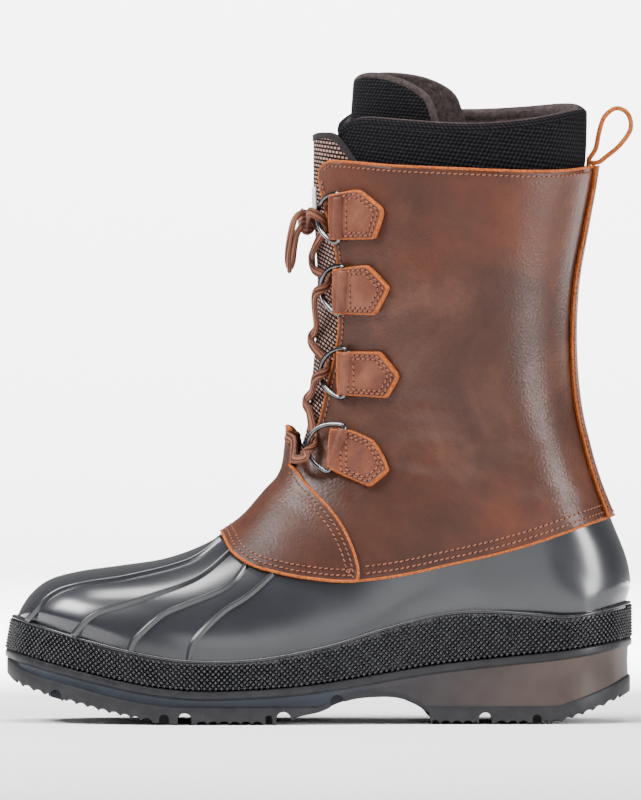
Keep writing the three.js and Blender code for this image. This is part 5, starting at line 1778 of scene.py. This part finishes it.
back_sheet = last_sheet(GAP + BACKSTAY_LEATHER, [over(HEM, 2 * GAP), under(COLLAR, GAP), on_back],
                        rows=(36, None))
back_rims = borders(back_sheet)
raw_rim(back_rims[0], 1.4)
stitch_row(back_rims[0], 2.2, lambda x, y, z: abs(y) > 8 or z < 110)
backstay = thicken(finish_mesh("back_strip", back_sheet, [TAN, EDGE]), BACKSTAY_LEATHER)
dress(settle(backstay), "strap", "backstay")
dress(join("raw_edges", raw_edges), "upper")

# %% [markdown]
# ## Ring tabs and pull loop
#
# Each tab is a strip folded double round its ring's bar: a smooth roll in front, then a plate of two
# layers that ends in a blunt point. Its outline is laid on the last from the side, as the photograph
# shows it, and loops of it at rising lifts make the two layers and the cut between them. The pull loop
# is a flat strap: a closed path with a thin profile, whose tail goes down inside the collar.

# %% Ring tabs
TAB_SHAPES = [
    [(9, 11.4), (19.5, 14.2), (22.4, 13.8), (32.9, 5.2), (33.7, 2.1), (29.7, -10.1), (28.2, -10.6),
     (9.5, -10.9)],
    [(11, 10.9), (24.9, 13.0), (27.6, 11.7), (36.2, 2.2), (36.4, 0.8), (30.4, -11.2), (29.0, -12.2),
     (11, -11.5)],
    [(12.5, 11.0), (31, 11.3), (33, 10.4), (41, 0.0), (41.2, -2.0), (36, -11.6), (34.6, -12.2),
     (12.5, -10.8)],
    [(8.5, 10.3), (17.3, 10.3), (28.1, 5.5), (33.2, -2.0), (36, -9.0), (35.6, -10.8), (27.6, -17.9),
     (25.6, -18.1), (6.5, -10.2)],
]
TAB_PLATE = 2 * GAP + 2 * TAB_LEATHER
# Loops of the plate from its back up: a scale, a lift, and whether the skin above it is cut edge.
TAB_RINGS = [(1.0, 2 * GAP, 1), *[(scale, share * TAB_PLATE, cut_edge) for scale, share, cut_edge in [
    (1.008, 0.42, 1), (0.992, 0.52, 1), (1.008, 0.62, 1), (0.995, 0.86, 1), (0.965, 0.99, 1),
    (0.935, 1.05, 0), (0.9, 1, 0), (0.75, 1, 0), (0.55, 1, 0), (0.3, 1, 0),
]]]
# Two rows of stitches: their scale, and how far behind the ring's bar they start.
TAB_SEAMS = [(0.84, 3.8), (0.7, 6.2)]
TAB_POINTS = 96


def roll_swell(x, ring):
    """How far the leather still stands up behind the roll round a ring's bar."""
    return 2.7 * math.exp(-max(0.0, (x - ring.bar[0]) / 4.0) ** 2)


def blunted(corners, most=1.6):
    """An outline through its corners, each cut off a little, as even points."""
    softened = []
    for before, corner, after in zip(np.roll(corners, 1, axis=0), corners, np.roll(corners, -1, axis=0)):
        for other in (before, after):
            reach = min(most, 0.3 * np.linalg.norm(other - corner))
            softened.append(corner + unit(other - corner) * reach)
    return even_path(softened, TAB_POINTS, closed=True)


def tab_plate(outline, side, ring):
    """The flat part of a tab: loops of its outline at rising lifts over the last."""
    middle = outline.mean(axis=0)
    plate = bmesh.new()
    plate.loops.layers.uv.new("flat")
    rows = []
    for scale, lift, _ in TAB_RINGS:
        spots = []
        for x, z in middle + scale * (outline - middle):
            swell = roll_swell(x, ring) * (lift > 0.6 * TAB_PLATE)
            spots.append(plate.verts.new(lifted(on_side(x, z, side), lift + swell)))
        rows.append(spots)
    for low, high, (_, _, cut_edge) in zip(rows, rows[1:], TAB_RINGS):
        for face in skin(plate, low, high):
            face.material_index = cut_edge
    plate.faces.new(rows[-1])
    plate.faces.new(rows[0][::-1])
    bmesh.ops.recalc_face_normals(plate, faces=plate.faces)
    return finish_mesh("tab", plate, [TAN, EDGE])


def tab_roll(ring):
    """The smooth roll of leather round a ring's bar."""
    path = ring.bar + np.outer(np.linspace(-0.5, 0.5, 16) * ROLL_HEIGHT, ring.up)
    return sweep("roll", path, np.tile(ring.face, (len(path), 1)),
                 round_profile(2 * ROLL_RADIUS, 2 * ROLL_RADIUS, 20), [TAN, EDGE])


def tab_seam(outline, side, ring, scale, front):
    """A row of stitches inside the outline, no nearer to the bar than front."""
    middle = outline.mean(axis=0)
    inner_line = middle + scale * (outline - middle)
    inner_line[:, 0] = np.maximum(inner_line[:, 0], ring.bar[0] + front)
    row = []
    for x, z in np.vstack([inner_line, inner_line[:1]]):
        spot = on_side(x, z, side)
        row.append(np.concatenate([lifted(spot, TAB_PLATE + roll_swell(x, ring) + THREAD_LIFT), spot[1]]))
    return np.array(row)


tabs = []
for shape, row, pair in zip(TAB_SHAPES, TABS, RINGS):
    middle_z = float(z_at(row[1]))
    outline = blunted(np.array([(x, middle_z + dz) for x, dz in shape]))
    for side, ring in pair.items():
        tabs += [tab_plate(outline, side, ring), tab_roll(ring)]
        seam_rows += [tab_seam(outline, side, ring, *seam) for seam in TAB_SEAMS]
ring_tabs = join("ring_tabs", tabs)
dress(ring_tabs, "strap", *both_sides("tab"))

# %% Pull loop
LOOP_WIDTH, LOOP_TAIL = 14, 24
PULL_LOOP = [(0.9305, 2.008), (0.942, 2.05), (0.948, 2.11), (0.957, 2.158), (0.975, 2.183), (0.993, 2.165),
             (0.9975, 2.115), (0.98, 2.06), (0.958, 2.022), (0.946, 2.004)]
loop_path = even_path([(float(x_at(x)), 0, float(z_at(rise))) for x, rise in PULL_LOOP], 72, closed=True)
loop_centre = loop_path.mean(axis=0)
strap_profile = [(-6.6, 1.15), (-3.5, 1.2), (0, 1.2), (3.5, 1.2), (6.6, 1.15), (7, 0.7), (7, -0.7),
                 (6.6, -1.15), (0, -1.2), (-6.6, -1.15), (-7, -0.7), (-7, 0.7)]
# The sides of the profile that are cut edge.
RIM_COLUMNS = {4, 5, 6, 9, 10, 11}
pull_loop = sweep("loop_strap", loop_path, loop_path - loop_centre, strap_profile, [TAN, EDGE], closed=True)
for polygon in pull_loop.data.polygons:
    polygon.material_index = int(polygon.index % len(strap_profile) in RIM_COLUMNS)
tail_sheet = last_sheet(TONGUE_FACE, [
    lambda x, y, z: LOOP_WIDTH / 2 - abs(y) if x > x_at(0.8) else -KEPT,
    over(COLLAR, -LOOP_TAIL),
    under(COLLAR, -LOOP_TAIL / 5),
], rows=(90, None))
tail = settle(thicken(finish_mesh("tail", tail_sheet, [TAN, EDGE]), TONGUE_CLOTH))
pull_strap = join("pull_strap", [pull_loop, tail])
dress(pull_strap, "strap", "pull_loop")

# %% [markdown]
# ## Cloth, fleece and felt
#
# The woven tongue fills the throat. Behind it stands the liner, a padded sock of black spacer mesh with
# fleece inside and a rounded rim, and behind the liner's slit its own tall tongue. All are sheets of the
# last again, each at its own depth, so nothing has to be pushed together by hand.

# %% Woven tongue
TONGUE_TOP = side_line([
    (0.44, 2.03), (0.479, 2.04), (0.49, 2.09), (0.509, 2.1), (0.525, 2.09), (0.541, 2.05), (0.558, 2.0),
    (0.59, 1.9),
])
TONGUE_BACK = float(x_at(0.585))
BINDING_WIDTH, BINDING_PROUD = 2.6, 0.45
LABEL_HALF, LABEL_FOOT, LABEL_HEAD, LABEL_PROUD = 8, 258, 271, 0.8


def on_tongue(x, y, z):
    """Above zero on the woven tongue, from the instep to its top."""
    return min(float(level(TONGUE_TOP, x)) - z, TONGUE_BACK - x, z - INSTEP_HEIGHT + GAP)


tongue_sheet = last_sheet(TONGUE_FACE, [on_tongue], rows=(60, None))
tongue = settle(thicken(finish_mesh("woven_tongue", tongue_sheet, [WEAVE, BINDING]), TONGUE_CLOTH))
binding_sheet = last_sheet(TONGUE_FACE + BINDING_PROUD, [
    under(TONGUE_TOP, -0.5), over(TONGUE_TOP, -BINDING_WIDTH), lambda x, y, z: TONGUE_BACK - x,
], rows=(90, None))
tongue_binding = settle(thicken(finish_mesh("tongue_binding", binding_sheet, [BINDING, BINDING]),
                                TONGUE_CLOTH + 2 * BINDING_PROUD))
label_sheet = last_sheet(TONGUE_FACE + LABEL_PROUD, [
    lambda x, y, z: min(LABEL_HALF - abs(y), z - LABEL_FOOT, LABEL_HEAD - z, TONGUE_BACK - x),
], rows=(90, None))
label = settle(thicken(finish_mesh("bare_label", label_sheet, [LABEL, LABEL]), 0.7))
dress(label, "tongue")
dress(tongue, "tongue", "tongue")
dress(tongue_binding, "tongue", "tongue")

# %% [markdown]
# The liner reaches down into the shell as a whole sock, although only its rim is seen: it lifts out of
# the real boot. Its wall is one thick Solidify whose inner side takes the fleece. Solidify leaves a
# square rim, so a soft roll of net and fleece is swept over it, with a thin piping inside.

# %% Liner
LINER_RIM = side_line([
    (0.42, 1.9), (0.51, 1.97), (0.522, 2.05), (0.534, 2.11), (0.55, 2.148), (0.575, 2.168), (0.63, 2.164),
    (0.74, 2.155), (0.83, 2.166), (0.9, 2.186), (0.92, 2.18), (0.94, 2.15), (1, 2.0),
])
RIM_TILT, RIM_ROLL = 0.075, 7.5
SLIT_HALF, SLIT_FOOT, SLIT_EASE, SLIT_BACK = 13, float(z_at(1.4)), 8, float(x_at(0.6))
TUCK_BELOW, TUCK_RUN, TUCK_IN = 12, 20, 2.2


def under_rim(drop):
    """A test that keeps what lies under the liner's rim by a drop."""
    return lambda x, y, z: float(level(LINER_RIM, x)) + RIM_TILT * y - drop - z


def beside_slit(x, y, z):
    """Above zero outside the slit down the liner's front."""
    if x > SLIT_BACK or z < SLIT_FOOT:
        return KEPT
    return abs(y) - SLIT_HALF * min(1.0, (z - SLIT_FOOT) / SLIT_EASE)


def tucked(points):
    """The hidden part of the sock keeps clear of the layers round it."""
    moved = inside_band(points, 3 + SHELL_WALL)
    depth = np.clip((level(COLLAR, moved[..., 0]) - TUCK_BELOW - moved[..., 2]) / TUCK_RUN, 0, 1)
    inward = units(moved.mean(axis=1, keepdims=True) - moved)
    return moved + TUCK_IN * depth[..., None] * inward


liner_sheet = last_sheet(LINER_FACE, [under_rim(RIM_ROLL / 2), beside_slit], rows=(14, None), nose=True,
                         shape=tucked)
liner = finish_mesh("liner_sock", liner_sheet, [NET, FLEECE, FLEECE])
thicken(liner, LINER_WALL).modifiers["wall"].material_offset = 2
settle(liner)

# %% Rolled rim and piping
RIM_FRONT = float(x_at(0.532))
ROLL_SIDES, RIM_POINTS, RIM_EASING = 24, 150, 8


def rim_line(offset, drop):
    """Where the rim crosses each column of the last, from the slit round the back to the slit."""
    skin = LAST + offset * OUT
    found = []
    for c in range(AROUND):
        column = skin[:, (c + AROUND // 2) % AROUND]
        gap = column[:, 2] - level(LINER_RIM, column[:, 0]) - RIM_TILT * column[:, 1] + drop
        above = np.flatnonzero((gap[:-1] < 0) & (gap[1:] >= 0))
        if not len(above):
            continue
        k = above[-1]
        spot = column[k] + (column[k + 1] - column[k]) * gap[k] / (gap[k] - gap[k + 1])
        if spot[0] > RIM_FRONT:
            found.append(spot)
    return np.array(found)


rim_middle = rim_line(LINER_FACE - LINER_WALL / 2, RIM_ROLL / 2)
rim_path = eased(even_path(rim_middle, RIM_POINTS), RIM_EASING)
ends = np.minimum(np.arange(len(rim_path)), np.arange(len(rim_path))[::-1])
taper = np.clip(np.sqrt(np.clip(ends / 3, 0.02, 1)), 0, 1)
roll_profile = round_profile(LINER_WALL + 0.3, RIM_ROLL + 0.2, ROLL_SIDES, 2.4)
upright = np.tile((0.0, 0.0, 1.0), (len(rim_path), 1))
rim_roll = sweep("rim_roll", rim_path, upright, roll_profile, [NET, FLEECE], scale=taper, cloth=True)
centre_line = rim_path.mean(axis=0)
for polygon in rim_roll.data.polygons:
    place = np.array(polygon.center) / MM
    nearest = rim_path[np.argmin(np.linalg.norm(rim_path - place, axis=1))]
    inwards = np.dot((place - nearest)[:2], (centre_line - nearest)[:2])
    polygon.material_index = int(inwards > 0 and polygon.index < (len(rim_path) - 1) * ROLL_SIDES)
piping_middle = rim_line(LINER_FACE - 0.36 * LINER_WALL, 0.1)
piping_path = eased(even_path(piping_middle, RIM_POINTS), RIM_EASING)
piping = sweep("piping", piping_path, upright, round_profile(2.6, 1.2, 10), [FLEECE], scale=taper)
for piece in (liner, rim_roll, piping):
    dress(piece, "liner", "liner")

# %% [markdown]
# The liner's own tongue stands tallest of all. It leans back a little and is skewed, so that its far
# edge shows behind its near one as in the photograph. Both are added to the test and to the shape of
# the sheet, and a fleece roll follows its rim.

# %% Tongue of the liner
LINER_TONGUE_TOP = side_line([
    (0.3, 2.18), (0.5, 2.25), (0.54, 2.28), (0.57, 2.286), (0.62, 2.268), (0.66, 2.225), (0.675, 2.17),
    (0.69, 2.05), (0.7, 1.6), (0.71, 0.5),
])
TONGUE_SKEW, TONGUE_LEAN, TONGUE_TILT = 0.19, 0.07, 0.02
LEAN_FROM = float(z_at(1.5))
TONGUE_SIDE = np.array([(LEAN_FROM, x_at(0.64)), (z_at(1.95), x_at(0.685)), (z_at(2.14), x_at(0.69))], float)
EDGE_POINTS = 160


def leaned(points):
    """The tongue leans back as it rises."""
    moved = points.copy()
    moved[..., 0] += TONGUE_LEAN * (points[..., 2] - LEAN_FROM)
    return moved


def on_liner_tongue(x, y, z):
    """Above zero under the tongue's top and in front of its two sides."""
    straight = x - TONGUE_LEAN * (z - LEAN_FROM) - TONGUE_SKEW * y
    flat_z = z - TONGUE_TILT * y
    side_x = float(level(TONGUE_SIDE, flat_z))
    return min(float(level(LINER_TONGUE_TOP, straight)) - flat_z, side_x - straight, flat_z - LEAN_FROM)


tongue_front = last_sheet(LINER_TONGUE_FACE, [on_liner_tongue], rows=(80, None), shape=leaned)
front_rims = borders(tongue_front)
liner_tongue = finish_mesh("fleece_tongue", tongue_front, [NET, FLEECE, FLEECE])
thicken(liner_tongue, LINER_TONGUE_WALL).modifiers["wall"].material_offset = 2
settle(liner_tongue)
edge_points, edge_outs, edge_ins = front_rims[0]
edge_path = even_path(edge_points - LINER_TONGUE_WALL / 2 * edge_outs, EDGE_POINTS, closed=True)
edge_face = even_path(edge_ins, EDGE_POINTS, closed=True)
edge_profile = round_profile(LINER_TONGUE_WALL + 0.2, 4.4, 16, 2.3)
edge_roll = sweep("tongue_edge", edge_path, -edge_face, edge_profile, [FLEECE], closed=True)
for piece in (liner_tongue, edge_roll):
    dress(piece, "fleece", "liner_tongue")

# %% [markdown]
# A loose felt footbed lies in the sock. It is the sole's plan again, drawn in and built up in four
# levels over the liner's floor.

# %% Insole
INSOLE_INSET, INSOLE_FELT = 22, 4
FLOOR_LIFT = SHELL_INSET + SHELL_WALL + GAP + LINER_WALL + 0.6
felt_line, felt_out = plan_at(200)
felt_bed = level(FOOTBED, felt_line[:, 0]) + FLOOR_LIFT
felt_loops = [np.column_stack([drawn_in(felt_line, felt_out, INSOLE_INSET + inset), felt_bed + lift])
              for inset, lift in ((1, 0), (0, 0.6), (0, INSOLE_FELT - 0.8), (0.8, INSOLE_FELT))]
insole = slab("felt_insole", felt_loops, [FELT])
dress(insole, "insole", "insole")

# %% [markdown]
# ## Stitching
#
# Every row found above is charted at one pitch. One small stretched ball is the stitch, set at a slight
# slant to its row, and the same tree run again between the stitches sets small dark dots, painted shade
# that stands for the needle holes. Each has only a few dozen faces, because there are so many of them.

# %% Stitches and needle holes
STITCH_PITCH, AIM_REACH = 2.9, 0.8


def charted(rows, pitch, shift):
    """Points at one pitch along each row, with their ways out and ahead."""
    places, outs, aheads = [], [], []
    for row in rows:
        run = lengths_along(row[:, :3])
        at = np.arange(pitch * (0.5 + shift), run[-1] - 0.4 * pitch, pitch)
        spots = sampled(row, run, at)
        places.append(spots[:, :3])
        outs.append(spots[:, 3:])
        aheads.append(sampled(row[:, :3], run, at + AIM_REACH) - sampled(row[:, :3], run, at - AIM_REACH))
    return np.concatenate(places), np.concatenate(outs), np.concatenate(aheads)


stitches = repeat("stitches", *charted(seam_rows, STITCH_PITCH, 0), STITCHES, THREAD,
                  {"Length": 2.4 * MM, "Width": 0.72 * MM, "Height": 0.7 * MM, "Slant": 0.25})
dress(stitches, "upper")
# Dark dots between the stitches: painted shade that stands for the needle holes.
needle_hole_shades = repeat("needle_hole_shades", *charted(seam_rows, STITCH_PITCH, 0.5), STITCHES, NEEDLE_HOLE_SHADE,
                      {"Length": 0.9 * MM, "Width": 0.9 * MM, "Height": 0.5 * MM, "Slant": 0.0})
dress(needle_hole_shades, "upper")

# %% [markdown]
# ## The studio
#
# The photograph has a plain white ground and soft light from all round, a little stronger from the
# upper left, so that the rubber toe catches one broad pale reflection. Large softboxes give that, as in
# a real studio. The boot stands on white paper that curves up behind it, lit by lamps of its own.

# %% Floor and light
# Metres from here on.
FLOOR_HALF, FLOOR_BACK, SWEEP_HALF, SWEEP_RADIUS = 6.0, 3.0, 0.9, 1.2
AMBIENT = 0.26
profile = [(-FLOOR_HALF, 0.0), *[(FLOOR_BACK + SWEEP_RADIUS * math.sin(t), SWEEP_RADIUS * (1 - math.cos(t)))
                                  for t in np.linspace(0, math.pi / 3, 9)]]
paper = new_material("white_paper", Roughness=0.9, Base_Color=(0.97, 0.97, 0.97, 1))[0]


def paper_sheet(name, run, half):
    """A sheet of paper of a half width that follows a run of (y, z) points."""
    mesh = bpy.data.meshes.new(name)
    mesh.from_pydata([(x, y, z) for x in (-half, half) for y, z in run], [],
                     [(k, k + len(run), k + 1 + len(run), k + 1) for k in range(len(run) - 1)])
    mesh.shade_smooth()
    mesh.materials.append(paper)
    sheet = new_object(name, mesh)
    return sheet


paper_sheet("floor", profile[:2], FLOOR_HALF)
wall = paper_sheet("wall", profile[1:], SWEEP_HALF)
# Rubber seen at a low angle would mirror the bright wall, so reflections leave it out.
wall.visible_glossy = False

world = bpy.data.worlds.new("studio")
bpy.context.scene.world = world
world.use_nodes = True
background = world.node_tree.nodes["Background"]
background.inputs["Color"].default_value = (1, 1, 1, 1)
background.inputs["Strength"].default_value = AMBIENT


# %% Softboxes
# A place, what the lamp faces, its width, height and power.
LAMPS = {
    "key": ((-1.15, -0.5, 1.25), (0, 0, 0.1), 0.95, 0.5, 52),
    "side": ((1.36, -0.7, 0.5), (0.05, 0, 0.12), 0.4, 0.8, 28),
    "top": ((-0.05, -0.2, 1.7), (0, 0, 0.05), 1.1, 0.5, 38),
    "front": ((0.2, -2.4, 0.4), (0, 0, 0.1), 1.4, 0.6, 8),
    "backdrop_low": ((0, 0.7, 0.9), (0, 3.2, 0.0), 4.5, 0.5, 300),
    "backdrop_high": ((0, 1.2, 2.6), (0, 4.2, 1.4), 4.5, 0.6, 620),
}


def softbox(name, place, aim_at, width, height, power):
    """A rectangular area light that faces one point."""
    data = bpy.data.lights.new(name, "AREA")
    data.shape = "RECTANGLE"
    data.size, data.size_y = width, height
    data.energy = power
    lamp = new_object(name, data)
    lamp.location = place
    lamp.rotation_euler = (Vector(aim_at) - Vector(place)).to_track_quat("-Z", "Y").to_euler()


for name, lamp in LAMPS.items():
    softbox(name, *lamp)
print("lamps:", *LAMPS)
